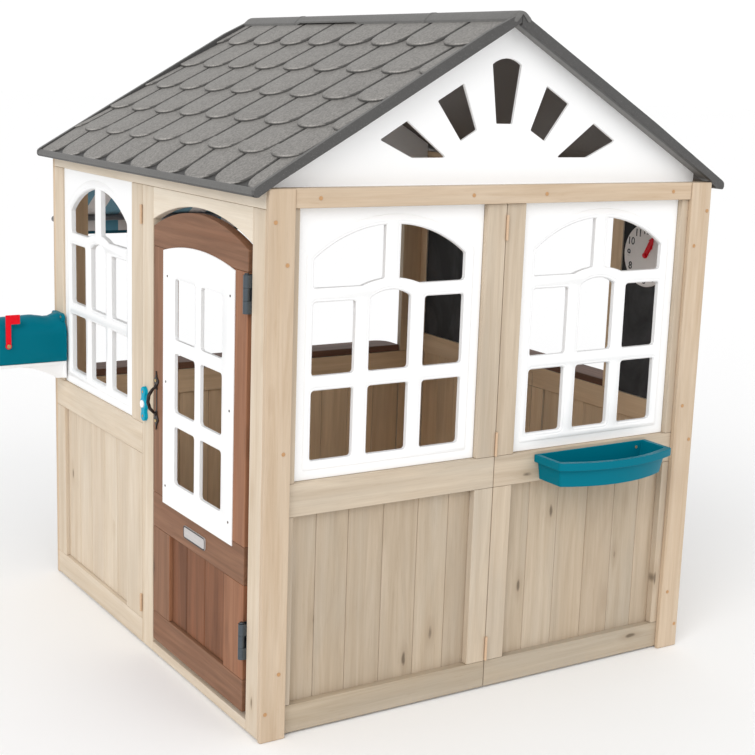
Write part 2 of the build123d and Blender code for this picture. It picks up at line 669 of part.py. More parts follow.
# The door's pin, then the flag's pivot screw and its head
save_rods("mailbox_pins", [
    (front(BOX_Y - 35), PIN_X, PIN_Z, PIN_R, -70),
    (front(FLAG_Y - 0.3), FLAG_X, FLAG_Z, FLAG_PIN_R, -12),
    (front(FLAG_Y - 2.3), FLAG_X, FLAG_Z, 5.0, -2.1),
])

with BuildPart() as mailbox_flag:
    with BuildSketch(front(FLAG_Y)):
        disc(FLAG_X, FLAG_Z, 7.5)
        rect(FLAG_X - 6.5, FLAG_X + 6.5, FLAG_Z, 706)
        rect(FLAG_X, FLAG_X + 29, 683, 706)
        disc(FLAG_X, FLAG_Z, FLAG_PIN_R + 0.05, mode=Mode.SUBTRACT)
    extrude(amount=-3)
save(mailbox_flag.part, "mailbox_flag")

TRAY_HALF = 45
GUSSET_T = 4
with BuildPart() as mailbox_bracket:
    # tray under the box, wall plate and two curved gussets
    with BuildSketch(front(BOX_Y - TRAY_HALF)):
        rect(-204, WALL_X, 571.8, 579.8)
        rect(-7, WALL_X, 537, 572)
    extrude(amount=-2 * TRAY_HALF)
    for y in (BOX_Y - 43, BOX_Y + 43 - GUSSET_T):
        with BuildSketch(front(y)):
            with BuildLine():
                Polyline((-6.5, 572), (-124, 572))
                ThreePointArc((-124, 572), (-66, 559), (-26, 538))
                Polyline((-26, 538), (-6.5, 537.2), (-6.5, 572))
            make_face()
        extrude(amount=-GUSSET_T)
save(mailbox_bracket.part, "mailbox_bracket")

# ------------------------------------------------------------------ door bell
BELL_Y, BELL_Z = 568.0, 576.0
BELL_LOBE = 27.5                  # end lobes and their screws, from the centre
BUTTON_R = 8.55
with BuildPart() as doorbell_plate:
    with BuildSketch(side(-0.2)):
        for dz, radius in ((BELL_LOBE, 11.5), (0, 15.0), (-BELL_LOBE, 11.5)):
            disc(BELL_Y, BELL_Z + dz, radius)
        rect(BELL_Y - 9, BELL_Y + 9, BELL_Z - 27, BELL_Z + 27)
    extrude(amount=-7.8)
    fillet(faces().sort_by(Axis.X)[0].edges(), radius=1.5)
    with BuildSketch(side(-9)):
        disc(BELL_Y, BELL_Z, BUTTON_R + 0.05)
    extrude(amount=8, mode=Mode.SUBTRACT)
save(doorbell_plate.part, "doorbell_plate")

with BuildPart() as doorbell_button:
    with BuildSketch(side(-4.0)):
        disc(BELL_Y, BELL_Z, BUTTON_R)
    extrude(amount=-7.5)
    fillet(faces().sort_by(Axis.X)[0].edges(), radius=1.5)
save(doorbell_button.part, "doorbell_button")

# ---------------------------------------------------------------------- clock
CLOCK_Y, CLOCK_Z, CLOCK_R = 176.0, 915.0, 75.0
CLOCK_X = RIGHT_IN + 3.8          # back of the clock, against the writing board
CLOCK_PIN_R = 3.0
HAND_T = 1.6
with BuildPart() as clock_face:
    with BuildSketch(side(CLOCK_X)):
        disc(CLOCK_Y, CLOCK_Z, CLOCK_R)
        disc(CLOCK_Y, CLOCK_Z, CLOCK_PIN_R + 0.03, mode=Mode.SUBTRACT)
    extrude(amount=-5)
    rims = faces().sort_by(Axis.X)[0].edges().filter_by(GeomType.CIRCLE)
    fillet(rims.sort_by(SortBy.RADIUS)[-1], radius=2)
save(clock_face.part, "clock_face")


def save_hand(name, x, length, width, angle):
    """A clock hand with a hub and an arrow tip, turned clockwise from
    upright as seen from inside the house."""
    cosine, sine = cos(radians(angle)), sin(radians(angle))
    half = width / 2
    # (across, along) the hand
    shape = [(-half, 0), (-half, length - 16), (-half - 3.5, length - 18), (0, length),
             (half + 3.5, length - 18), (half, length - 16), (half, 0)]
    with BuildPart() as clock_hand:
        with BuildSketch(side(x)):
            disc(CLOCK_Y, CLOCK_Z, 7.0)
            poly([(CLOCK_Y - across * cosine - along * sine,
                   CLOCK_Z - across * sine + along * cosine) for across, along in shape])
            disc(CLOCK_Y, CLOCK_Z, CLOCK_PIN_R + 0.05, mode=Mode.SUBTRACT)
        extrude(amount=-HAND_T)
    save(clock_hand.part, name)


save_hand("clock_hour_hand", CLOCK_X - 5.4, length=42, width=13.0, angle=32.5)
save_hand("clock_minute_hand", CLOCK_X - 7.4, length=54, width=12.0, angle=29.0)
save_rods("clock_pin", [
    (side(CLOCK_X - 0.2), CLOCK_Y, CLOCK_Z, CLOCK_PIN_R, -9.1),
    (side(CLOCK_X - 9.3), CLOCK_Y, CLOCK_Z, 5.5, -2),
])

# ----------------------------------------------------------------------- door
DOOR_Y0, DOOR_Y1 = 80.0, 525.5
DOOR_LOW = 36.0
STILE_W = 87.0
FIELD_Y0, FIELD_Y1 = DOOR_Y0 + STILE_W, DOOR_Y1 - STILE_W    # between the stiles
DOOR_RAIL_TOP = 105.0
DOOR_MID = (306.0, 385.0)
DOOR_HEAD = 935.0                 # underside of the arched rail
DOOR_FIT = 0.3
DOOR_STILES = [(DOOR_Y0, FIELD_Y0), (FIELD_Y1, DOOR_Y1)]
DOOR_CUTS = [FIELD_Y0 + 0.5, 272.0, 361.0, FIELD_Y1 - 0.5]
save_boards("door_stiles", SIDE_T,
            bars(DOOR_STILES, DOOR_RAIL_TOP + DOOR_FIT, DOOR_MID[0] - DOOR_FIT)
            + bars(DOOR_STILES, DOOR_MID[1] + DOOR_FIT, DOOR_HEAD - DOOR_FIT),
            side(0))
save_boards("door_bottom_rail", SIDE_T, [(DOOR_Y0, DOOR_Y1, DOOR_LOW, DOOR_RAIL_TOP)], side(0))
save_boards("door_mid_rail", SIDE_T, [(DOOR_Y0, DOOR_Y1, *DOOR_MID)], side(0))
save_boards("door_planks", 8,
            planks(DOOR_CUTS, DOOR_RAIL_TOP + PLANK_FIT, DOOR_MID[0] - PLANK_FIT, gap=0.3),
            side(7))

with BuildPart() as door_arched_rail:
    with BuildSketch(side(0)):
        add(arched(DOOR_Y0, DOOR_Y1, DOOR_HEAD, 978, 1023.5))
    extrude(amount=SIDE_T)
save(door_arched_rail.part, "door_arched_rail")

# Moulded window in the upper door: six panes, flange over the frame
DOOR_PANE_COLUMNS = [(187.5, 287.5), (314.5, 414.5)]                # y limits
DOOR_PANE_ROWS = [(430.0, 558.0), (589.0, 718.0), (747.0, 877.0)]   # z limits
DOOR_PANE_R = 9
DOOR_FLANGE_X = -3
with BuildPart() as door_window:
    with BuildSketch(side(DOOR_FLANGE_X)):
        add(arched(132.0, 470.0, 374, 932, 951.4))
    extrude(amount=2.8)
    with BuildSketch(side(-0.3)):
        rect(FIELD_Y0 + 0.5, FIELD_Y1 - 0.5, DOOR_MID[1] + 0.8, DOOR_HEAD - 0.8)
    extrude(amount=8.3)
    for y0, y1 in DOOR_PANE_COLUMNS:
        for z0, z1 in DOOR_PANE_ROWS:
            with BuildSketch(side(DOOR_FLANGE_X - 1)):
                with Locations(((y0 + y1) / 2, (z0 + z1) / 2)):
                    RectangleRounded(y1 - y0, z1 - z0, DOOR_PANE_R)
            extrude(amount=14, mode=Mode.SUBTRACT)
save(door_window.part, "door_window")

# Handle: spear-ended back strip and a bowed grip
HANDLE_Y = 507.0
GRIP_X = -1.8
SPEAR_HALF = [(4, 7), (4, 10), (11, 17), (10, 24), (4, 33), (3, 37)]  # (half width, z from tip)
SPEAR = [(0, 0)] + [(-half, rise) for half, rise in SPEAR_HALF] + SPEAR_HALF[::-1]
with BuildPart() as door_handle:
    with BuildSketch(side(-0.2)):
        for tip_z, up in ((661.0, -1), (531.0, 1)):
            poly([(HANDLE_Y + across, tip_z + up * rise) for across, rise in SPEAR])
        rect(HANDLE_Y - 3, HANDLE_Y + 3, 566, 626)
    extrude(amount=-3)
    with BuildLine() as grip:
        ThreePointArc((SHIFT_X + GRIP_X, SHIFT_Y + HANDLE_Y, 627),
                      (SHIFT_X - 21, SHIFT_Y + HANDLE_Y, 596.5),
                      (SHIFT_X + GRIP_X, SHIFT_Y + HANDLE_Y, 566))
    with BuildSketch(Plane(origin=grip.line @ 0, z_dir=grip.line % 0)):
        Circle(3.2)
    sweep(path=grip.line)
save(door_handle.part, "door_handle")

# Blank plate with a raised border, on the middle rail
PLATE_CENTRE = (306.8, 339.5)
PLATE_W, PLATE_H, PLATE_R = 105.6, 28, 7
PLATE_BORDER = 3.3
with BuildPart() as door_nameplate:
    with BuildSketch(side(-0.1)):
        with Locations(PLATE_CENTRE):
            RectangleRounded(PLATE_W, PLATE_H, PLATE_R)
    extrude(amount=-2)
    with BuildSketch(side(-2.1)):
        with Locations(PLATE_CENTRE):
            RectangleRounded(PLATE_W, PLATE_H, PLATE_R)
            RectangleRounded(PLATE_W - 2 * PLATE_BORDER, PLATE_H - 2 * PLATE_BORDER, 4.5,
                             mode=Mode.SUBTRACT)
    extrude(amount=-1)
save(door_nameplate.part, "door_nameplate")

# ---------------------------------------------------------------- door hinges
HINGE_AXIS = (-7.0, 72.0)         # x, y
HINGE_Z = [(156.0, 231.0), (857.0, 932.0)]
KNUCKLE_R, HINGE_PIN_R = 7.0, 2.5
KNUCKLE_GAP = 0.3


def save_hinge_leaves(name, y0, y1, on_frame):
    """Both hinges' leaves of one side: a plate on the edge and its knuckles,
    the outer two on the frame and the middle one on the door."""
    with BuildPart() as leaves:
        for z0, z1 in HINGE_Z:
            third = (z1 - z0) / 3
            if on_frame:
                knuckles = [(z0, z0 + third - KNUCKLE_GAP), (z1 - third + KNUCKLE_GAP, z1)]
            else:
                knuckles = [(z0 + third, z1 - third)]
            with BuildSketch(floor(z0)):
                rect(0.4, 18, y0, y1)
            extrude(amount=z1 - z0)
            for low, high in knuckles:
                with BuildSketch(floor(low)):
                    disc(*HINGE_AXIS, KNUCKLE_R)
                    rect(HINGE_AXIS[0], 0.6, y0, y1)
                    disc(*HINGE_AXIS, HINGE_PIN_R + 0.05, mode=Mode.SUBTRACT)
                extrude(amount=high - low)
    save(leaves.part, name)


save_hinge_leaves("door_hinge_frame_leaves", 64.3, 67.0, on_frame=True)
save_hinge_leaves("door_hinge_door_leaves", 77.2, 79.8, on_frame=False)

hinge_pins = []
for z0, z1 in HINGE_Z:
    hinge_pins.append((floor(z0), *HINGE_AXIS, HINGE_PIN_R, z1 - z0 + 0.3))
    hinge_pins.append((floor(z1 + 0.2), *HINGE_AXIS, 4.5, 3))
save_rods("door_hinge_pins", hinge_pins)

# ---------------------------------------------------- fold hinges of the walls
# knuckle centre (x, y), leaf limits (x0, x1, y0, y1), z limits of each hinge
SEAM_HINGES = [
    ((SEAM_X, FRONT_OUT - 3.2), (SEAM_X - 0.5, SEAM_X + 0.5, FRONT_OUT - 3, FRONT_OUT + 14),
     [(66.6, 120.6), (527.5, 579.5), (986.5, 1038.8)]),
    ((SEAM_X, BACK_OUT + 3.2), (SEAM_X - 0.5, SEAM_X + 0.5, BACK_OUT - 14, BACK_OUT + 3),
     [(66.6, 120.6), (986.5, 1026.501)]),
    ((-3.2, SEAM_Y), (-3, 14, SEAM_Y - 0.3, SEAM_Y + 0.3),
     [(80.0, 122.0), (975.0, 1017.0)]),
]
with BuildPart() as seam_hinges:
    for knuckle, leaf, heights in SEAM_HINGES:
        for z0, z1 in heights:
            with BuildSketch(floor(z0)):
                disc(*knuckle, 3)
                rect(*leaf)
            extrude(amount=z1 - z0)
save(seam_hinges.part, "seam_hinges")

# --------------------------------------------------------------------- screws
# (x, z) on the corner boards and on the top trims, the same front and back
BOARD_SCREWS = [(14.3, 1037.7), (40.8, 957), (40.4, 591.7), (39.9, 140.7), (11.1, 61.1),
                (1108, 1036.6), (1076.6, 958.8), (1079.5, 590.4), (1108, 508.4),
                (1078.4, 140), (1108, 55.6)]
TRIM_SCREWS = [(111.2, 1080.8), (465.5, 1080.8), (651.5, 1080.9), (1005.7, 1080.8)]
# (y, z) on the door window's flange
FLANGE_SCREWS = [(447, 879), (149, 880), (453.5, 649), (147, 650), (455, 416), (147, 420)]


def screws(plane, places, head_r, head, shank, shank_r=1.8):
    """Rods for screws: a head out of the plane and a shank into it."""
    rods = []
    for across, up in places:
        rods.append((plane, across, up, head_r, head))
        rods.append((plane, across, up, shank_r, -shank))
    return rods


def flipped(places):
    """Places as seen on a rear or outside plane."""
    return [(-across, up) for across, up in places]


BOARD_SCREW = dict(head_r=4.0, head=1.0, shank=10)
TRIM_SCREW = dict(head_r=4.0, head=1.0, shank=7)
save_rods("frame_screws", (
    screws(front(0), BOARD_SCREWS, **BOARD_SCREW)
    + screws(front(TRIM_Y), TRIM_SCREWS, **TRIM_SCREW)
    + screws(rear(DEPTH), flipped(BOARD_SCREWS), **BOARD_SCREW)
    + screws(rear(BACK_OUT + TRIM_T), flipped(TRIM_SCREWS), **TRIM_SCREW)
    # mailbox ear, door bell plate, flower box
    + screws(outside(-9.3), flipped([(BOX_Y - 31, 690.5), (BOX_Y + 31, 690.5)]),
             head_r=3.0, head=1.0, shank=8)
    + screws(outside(-8.0), flipped([(BELL_Y, BELL_Z + BELL_LOBE), (BELL_Y, BELL_Z - BELL_LOBE)]),
             head_r=3.0, head=0.9, shank=6)
    + screws(front(BOX_INNER_BACK), [(BOX_X0 + 30, 505.0), (BOX_X1 - 30, 505.0)],
             head_r=3.5, head=1.0, shank=4)
))

save_rods("door_screws", (
    screws(outside(DOOR_FLANGE_X), flipped(FLANGE_SCREWS),
           head_r=2.6, head=0.7, shank=2.4, shank_r=1.4)
    + screws(outside(-3.2), flipped([(HANDLE_Y, 640.6), (HANDLE_Y, 550.6)]),
             head_r=3.6, head=1.6, shank=2.4, shank_r=1.4)
))
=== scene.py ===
"""A wooden playhouse with moulded plastic windows, gables, roof and mailbox, and a cloth awning.

House coordinates are millimetres from the front left corner: x runs right along the front,
y runs to the back and z up. The door is in the left wall and the awning hangs at the back.
metres() turns house coordinates into scene coordinates.
"""
import math

import bpy
import bmesh
import numpy as np
from mathutils import Matrix, Vector
from mathutils.geometry import tessellate_polygon


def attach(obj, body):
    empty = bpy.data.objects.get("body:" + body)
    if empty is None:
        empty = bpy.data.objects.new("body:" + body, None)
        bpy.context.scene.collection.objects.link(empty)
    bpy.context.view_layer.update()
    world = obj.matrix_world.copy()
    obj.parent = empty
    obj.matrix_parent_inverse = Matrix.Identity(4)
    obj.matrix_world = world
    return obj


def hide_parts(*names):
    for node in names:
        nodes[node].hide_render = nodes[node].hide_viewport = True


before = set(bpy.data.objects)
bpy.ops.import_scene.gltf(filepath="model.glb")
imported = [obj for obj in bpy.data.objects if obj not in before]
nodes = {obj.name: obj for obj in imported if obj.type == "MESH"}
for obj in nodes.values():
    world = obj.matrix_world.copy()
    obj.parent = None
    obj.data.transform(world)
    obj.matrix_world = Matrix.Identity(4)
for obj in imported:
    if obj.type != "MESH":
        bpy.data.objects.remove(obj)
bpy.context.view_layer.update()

# ---------------------------------------------------------------- house, mm
ORIGIN_X, ORIGIN_Y = -477.0, -632.0
WIDTH = 1118.0
EAVE_X, EAVE_Z = -34.0, 1107.0
RIDGE_X, RIDGE_Z = WIDTH / 2, 1441.0
SLOPE = (RIDGE_Z - EAVE_Z) / (RIDGE_X - EAVE_X)
ROOF_ANGLE = math.atan(SLOPE)


def metres(x, y, z):
    return ((x + ORIGIN_X) / 1000.0, (y + ORIGIN_Y) / 1000.0, z / 1000.0)


def on_wall(y, z, x):
    """Places an outline drawn in (y, z) at a given x."""
    return metres(x, y, z)


def along_y(x, z, y):
    """Places a section drawn in (x, z) at a given y."""
    return metres(x, y, z)


def roof_top(x):
    """Height of the roof's outer surface over x."""
    return EAVE_Z + (min(x, WIDTH - x) - EAVE_X) * SLOPE


# ============================================================ shader helpers
BLACK, WHITE = (0, 0, 0, 1.0), (1, 1, 1, 1.0)
MATERIALS = {}


def srgb(red, green, blue):
    """Linear colour from 0-255 sRGB values."""
    linear = []
    for value in (red, green, blue):
        value = value / 255.0
        linear.append(value / 12.92 if value <= 0.04045 else ((value + 0.055) / 1.055) ** 2.4)
    return tuple(linear) + (1.0,)


class Shader:
    """A material with one Principled surface, and short calls for its nodes."""

    def __init__(self, name):
        material = bpy.data.materials.new(name)
        material.use_nodes = True
        self.tree = material.node_tree
        self.tree.nodes.clear()
        output = self.node("ShaderNodeOutputMaterial")
        self.surface = self.node("ShaderNodeBsdfPrincipled")
        self.put(output.inputs[0], self.surface.outputs[0])
        MATERIALS[name] = material

    def put(self, socket, value):
        """Links a socket, or sets a plain value."""
        if isinstance(value, bpy.types.NodeSocket):
            self.tree.links.new(value, socket)
        else:
            socket.default_value = value

    def set(self, inputs):
        for name, value in inputs.items():
            self.put(self.surface.inputs[name], value)

    def node(self, kind, **settings):
        node = self.tree.nodes.new(kind)
        for name, value in settings.items():
            setattr(node, name, value)
        return node

    def attribute(self, name, output="Fac"):
        return self.node("ShaderNodeAttribute", attribute_name=name).outputs[output]

    def coordinates(self):
        return self.node("ShaderNodeTexCoord").outputs["Object"]

    def math(self, operation, *values):
        node = self.node("ShaderNodeMath", operation=operation)
        for socket, value in zip(node.inputs, values):
            self.put(socket, value)
        return node.outputs[0]

    def times(self, value, by):
        return self.math("MULTIPLY", value, by)

    def vary(self, value, spread, centre=1.0):
        """Maps 0..1 to a range of this spread about the centre."""
        return self.math("MULTIPLY_ADD", value, spread, centre - spread / 2)

    def vector(self, operation, first, second):
        node = self.node("ShaderNodeVectorMath", operation=operation)
        self.put(node.inputs[0], first)
        self.put(node.inputs[1], second)
        return node.outputs[0]

    def noise(self, vector, stretch=None, scale=1.0, detail=3.0, rough=0.55, distort=0.0,
              output="Fac"):
        if stretch:
            vector = self.vector("MULTIPLY", vector, stretch)
        node = self.node("ShaderNodeTexNoise")
        self.put(node.inputs["Vector"], vector)
        node.inputs["Scale"].default_value = scale
        node.inputs["Detail"].default_value = detail
        node.inputs["Roughness"].default_value = rough
        node.inputs["Distortion"].default_value = distort
        return node.outputs[output]

    def cells(self, vector, scale):
        """Distance to the cell's middle, and a random number for each cell."""
        node = self.node("ShaderNodeTexVoronoi", feature="F1")
        self.put(node.inputs["Vector"], vector)
        node.inputs["Scale"].default_value = scale
        split = self.node("ShaderNodeSeparateColor")
        self.put(split.inputs[0], node.outputs["Color"])
        return node.outputs["Distance"], split.outputs[0]

    def ramp(self, factor, stops):
        node = self.node("ShaderNodeValToRGB")
        elements = node.color_ramp.elements
        while len(elements) < len(stops):
            elements.new(0.5)
        for element, (position, colour) in zip(elements, stops):
            element.position = position
            element.color = colour
        self.put(node.inputs[0], factor)
        return node.outputs[0]

    def fade(self, factor, none, full):
        """0 where the factor is at none, 1 where it is at full."""
        return self.ramp(factor, sorted([(none, BLACK), (full, WHITE)]))

    def mix(self, factor, first, second, blend="MIX"):
        node = self.node("ShaderNodeMix", data_type="RGBA", blend_type=blend)
        for index, value in ((0, factor), (6, first), (7, second)):
            self.put(node.inputs[index], value)
        return node.outputs[2]

    def scale(self, colour, factor):
        node = self.node("ShaderNodeVectorMath", operation="SCALE")
        self.put(node.inputs[0], colour[:3] if isinstance(colour, tuple) else colour)
        self.put(node.inputs[3], factor)
        return node.outputs[0]

    def bump(self, height, strength, distance):
        node = self.node("ShaderNodeBump")
        node.inputs["Strength"].default_value = strength
        node.inputs["Distance"].default_value = distance
        self.put(node.inputs["Height"], height)
        self.put(self.surface.inputs["Normal"], node.outputs[0])

    def facing(self, direction):
        """1 where the surface faces a direction, else 0."""
        geometry = self.node("ShaderNodeNewGeometry")
        node = self.node("ShaderNodeVectorMath", operation="DOT_PRODUCT")
        self.put(node.inputs[0], geometry.outputs["Normal"])
        node.inputs[1].default_value = direction
        return self.math("GREATER_THAN", node.outputs["Value"], 0.5)


# ============================================================ material kinds
def wood(name, tones, wash=0.0, inward=None, knots=0.86, inside=1.0, vary=0.14, red=0.0,
         rough=0.6, ring=0.13):
    """Straight-grained stained softwood in (light, mid, dark) tones.

    wash and red are the strengths of grey and reddish patches; knots is the share of cells
    without a knot; vary is the brightness range between boards; ring is the strength of the
    growth rings. Faces towards inward get painted light, a warm tint and extra brightness, by
    the amount inside. gc is each board's own coordinate in metres: x along the grain, y across,
    z through; pid is a random number for the board.
    """
    shader = Shader(name)
    light, mid, dark = tones
    along = shader.attribute("gc", "Vector")
    board = shader.attribute("pid")
    figure = shader.noise(along, stretch=(2.2, 42, 30), detail=5, rough=0.62, distort=0.5)
    fibre = shader.noise(along, stretch=(9, 520, 300), detail=2, rough=0.6)
    slow = shader.noise(along, stretch=(1.0, 11, 9), detail=2, rough=0.5, distort=0.7)
    # growth rings: the slow noise folded many times, then thinned
    ring_folds, ring_thinning = 17.0, 2.2
    rings = shader.math("PINGPONG", shader.times(slow, by=ring_folds), 1.0)
    rings = shader.math("POWER", rings, ring_thinning)
    colour = shader.ramp(figure, [(0.28, light), (0.56, mid), (0.92, dark)])
    colour = shader.mix(shader.times(rings, by=ring), colour, dark)
    if wash:
        patches = shader.noise(along, stretch=(2.0, 9, 5), detail=3, rough=0.6)
        patches = shader.fade(patches, none=0.42, full=0.66)
        colour = shader.mix(shader.times(patches, by=wash), colour, srgb(176, 168, 155))
    if red:
        patches = shader.noise(along, stretch=(1.5, 24, 14), detail=3, rough=0.6, distort=0.3)
        patches = shader.fade(patches, none=0.50, full=0.68)
        colour = shader.mix(shader.times(patches, by=red), colour, srgb(168, 104, 70))
    # knots: sparse cells, a dark eye in a softer halo
    warped = shader.vector(
        "ADD",
        shader.vector("MULTIPLY", along, (7.0, 22, 5.0)),
        shader.vector("MULTIPLY", shader.noise(along, stretch=(30, 60, 20), detail=2, rough=0.5,
                                               output="Color"), (0.12, 0.12, 0.12)))
    distance, chance = shader.cells(warped, scale=1.0)
    has_knot = shader.math("GREATER_THAN", chance, knots)
    halo = shader.fade(distance, none=0.34, full=0.10)
    eye = shader.fade(distance, none=0.125, full=0.06)
    halo = shader.times(shader.times(halo, by=has_knot), by=0.42)
    colour = shader.mix(halo, colour, dark)
    knot_colour = tuple(value * 0.42 for value in dark[:3]) + (1.0,)
    eye = shader.times(eye, by=has_knot)
    colour = shader.mix(shader.times(eye, by=0.85), colour, knot_colour)
    # fibres and board-to-board differences
    shade = shader.times(shader.vary(fibre, spread=0.16), by=shader.vary(board, spread=vary))
    colour = shader.scale(colour, shade)
    hue_shuffle, hue_strength = 7.31, 0.10
    hue = shader.math("FRACT", shader.times(board, by=hue_shuffle))
    hue = shader.times(hue, by=hue_strength)
    colour = shader.mix(hue, colour, srgb(222, 190, 160), "MULTIPLY")
    flecks = shader.noise(along, stretch=(16, 240, 150), detail=3, rough=0.7, distort=0.3)
    flecks = shader.times(shader.fade(flecks, none=0.58, full=0.74), by=0.30)
    colour = shader.mix(flecks, colour, dark)
    # painted light on the faces towards the inside of the house: a warm tint, then brighter
    if inward is not None:
        painted_inside_gain = 0.28
        face = shader.times(shader.facing(inward), by=inside)
        colour = shader.mix(face, colour, srgb(255, 241, 224), "MULTIPLY")
        colour = shader.scale(colour, shader.math("MULTIPLY_ADD", face, painted_inside_gain, 1.0))
    shader.set({"Base Color": colour,
                "Roughness": shader.vary(figure, spread=0.16, centre=rough),
                "Specular IOR Level": 0.22})
    height = shader.math("ADD", shader.times(fibre, by=0.5), shader.times(figure, by=0.7))
    height = shader.math("SUBTRACT", height, shader.times(eye, by=0.5))
    shader.bump(height, strength=0.35, distance=0.0009)


def plastic(name, colour, rough, bump, spec=0.5, mottle=0.03):
    """Moulded plastic with a faint orange-peel skin and slow colour drift."""
    shader = Shader(name)
    place = shader.coordinates()
    drift = shader.noise(place, scale=6.0, detail=2, rough=0.5)
    colour = shader.scale(srgb(*colour), shader.vary(drift, spread=mottle * 2))
    peel = shader.noise(place, scale=260.0, detail=2, rough=0.5)
    smears = shader.noise(place, scale=38.0, detail=3, rough=0.6)
    shader.set({"Base Color": colour,
                "Roughness": shader.vary(smears, spread=0.14, centre=rough),
                "Specular IOR Level": spec,
                "Coat Roughness": 0.12})
    shader.bump(peel, strength=bump, distance=0.001)


def roof_plastic(name, colour, streak, grit):
    """Grey moulded roofing with ribs running up the slope (streak) and speckle (grit).

    The edge attribute paints highlight (above 0) and shade (below 0) into the colour.
    """
    shader = Shader(name)
    place = shader.coordinates()
    speck = shader.noise(place, scale=420.0, detail=2, rough=0.75)
    patch = shader.noise(place, scale=9.0, detail=3, rough=0.6)
    ribs = shader.noise(place, stretch=(26.0, 620.0, 26.0), detail=2, rough=0.6)
    shade = shader.math("ADD", shader.times(speck, by=0.45), shader.times(ribs, by=0.55))
    shade = shader.vary(shade, spread=streak * 2.2)
    shade = shader.times(shade, by=shader.vary(patch, spread=0.22))
    chance = shader.cells(place, scale=300.0)[1]
    shade = shader.times(shade, by=shader.vary(chance, spread=grit))
    flecks = shader.noise(place, scale=900.0, detail=1, rough=0.5)
    flecks = shader.times(shader.fade(flecks, none=0.70, full=0.78), by=0.45)
    colour = shader.mix(flecks, shader.scale(srgb(*colour), shade), srgb(206, 203, 198))
    # painted highlight and shade from the edge attribute
    edge = shader.attribute("edge")
    painted_highlight_gain = shader.times(shader.math("MAXIMUM", edge, 0.0), by=0.75)
    painted_shade_gain = shader.times(shader.math("MINIMUM", edge, 0.0), by=0.80)
    edge = shader.math("ADD", shader.math("ADD", painted_highlight_gain, painted_shade_gain), 1.0)
    shader.set({"Base Color": shader.scale(colour, edge),
                "Roughness": shader.vary(speck, spread=0.2, centre=0.52),
                "Specular IOR Level": 0.45})
    height = shader.math("ADD", shader.times(ribs, by=0.7), shader.times(speck, by=0.5))
    shader.bump(height, strength=0.35, distance=0.0012)


def chalkboard(name):
    """Matt black board with soft wiped chalk smears."""
    shader = Shader(name)
    place = shader.coordinates()
    wipes = shader.noise(place, stretch=(3.0, 9.0, 5.0), detail=4, rough=0.62, distort=1.4)
    dust = shader.noise(place, stretch=(22, 22, 60), detail=3, rough=0.6, distort=0.6)
    chalk = shader.times(shader.fade(wipes, none=0.42, full=0.72),
                         by=shader.vary(dust, spread=0.8, centre=0.9))
    colour = shader.mix(shader.times(chalk, by=0.34), srgb(56, 56, 57), srgb(112, 112, 114))
    shader.set({"Base Color": colour, "Roughness": 0.8, "Specular IOR Level": 0.25})
    tooth = shader.noise(place, scale=500.0, detail=2, rough=0.5)
    shader.bump(tooth, strength=0.12, distance=0.001)


def metal(name, colour, rough, metallic=1.0, brush=(40, 40, 900), bump=0.08):
    """Metal or paint with fine marks stretched by brush."""
    shader = Shader(name)
    marks = shader.noise(shader.coordinates(), stretch=brush, detail=2, rough=0.6)
    shader.set({"Base Color": shader.scale(srgb(*colour), shader.vary(marks, spread=0.3)),
                "Metallic": metallic,
                "Roughness": shader.vary(marks, spread=0.18, centre=rough)})
    shader.bump(marks, strength=bump, distance=0.0005)


def fabric(name):
    """Woven cloth with wide blue and off-white stripes and a dark bound hem.

    st is the cloth's own coordinate in metres: x across, y down; hem is 1 on the hem.
    """
    stripe_pitch, thread_pitch = 0.1042, 0.0016
    shader = Shader(name)
    place = shader.attribute("st", "Vector")
    split = shader.node("ShaderNodeSeparateXYZ")
    shader.put(split.inputs[0], place)
    across, down = split.outputs[0], split.outputs[1]
    wobble = shader.noise(place, stretch=(60, 60, 1), detail=2, rough=0.5)
    wobble = shader.vary(wobble, spread=0.0012, centre=0.0)
    stripe = shader.math("DIVIDE", shader.math("ADD", across, wobble), stripe_pitch)
    blue = shader.math("LESS_THAN", shader.math("FRACT", stripe), 0.5)
    colour = shader.mix(blue, srgb(214, 209, 207), srgb(88, 142, 164))
    hem = shader.math("GREATER_THAN", shader.attribute("hem"), 0.5)
    colour = shader.mix(hem, colour, srgb(6, 74, 90))
    threads = [shader.math("SINE", shader.times(axis, by=2 * math.pi / thread_pitch))
               for axis in (across, down)]
    weave = shader.times(threads[0], by=threads[1])
    soft = shader.noise(place, stretch=(14, 14, 1), detail=3, rough=0.6)
    shade = shader.math("ADD", shader.times(weave, by=0.05),
                        shader.vary(soft, spread=0.18, centre=0.99))
    shader.set({"Base Color": shader.scale(colour, shade),
                "Roughness": 0.9,
                "Specular IOR Level": 0.15,
                "Sheen Weight": 0.35,
                "Sheen Roughness": 0.5})
    height = shader.math("ADD", shader.times(weave, by=0.5), soft)
    shader.bump(height, strength=0.35, distance=0.0006)


# ================================================================= materials
def tones(*colours):
    return [srgb(*colour) for colour in colours]


TO_RIGHT, TO_LEFT, TO_BACK, TO_FRONT = (1, 0, 0), (-1, 0, 0), (0, 1, 0), (0, -1, 0)
SIDE_TONES = tones((222, 209, 191), (211, 195, 173), (190, 169, 142))
END_TONES = tones((209, 195, 175), (193, 177, 156), (169, 150, 127))
# darker copies of the front tones for the front planks and bottom rail: painted shade low down
# near the floor
LOW_PAINTED_SHADE_TONES = tones((195, 179, 158), (180, 163, 141), (156, 137, 115))
BOTTOM_PAINTED_SHADE_TONES = tones((188, 173, 152), (174, 158, 136), (150, 132, 110))
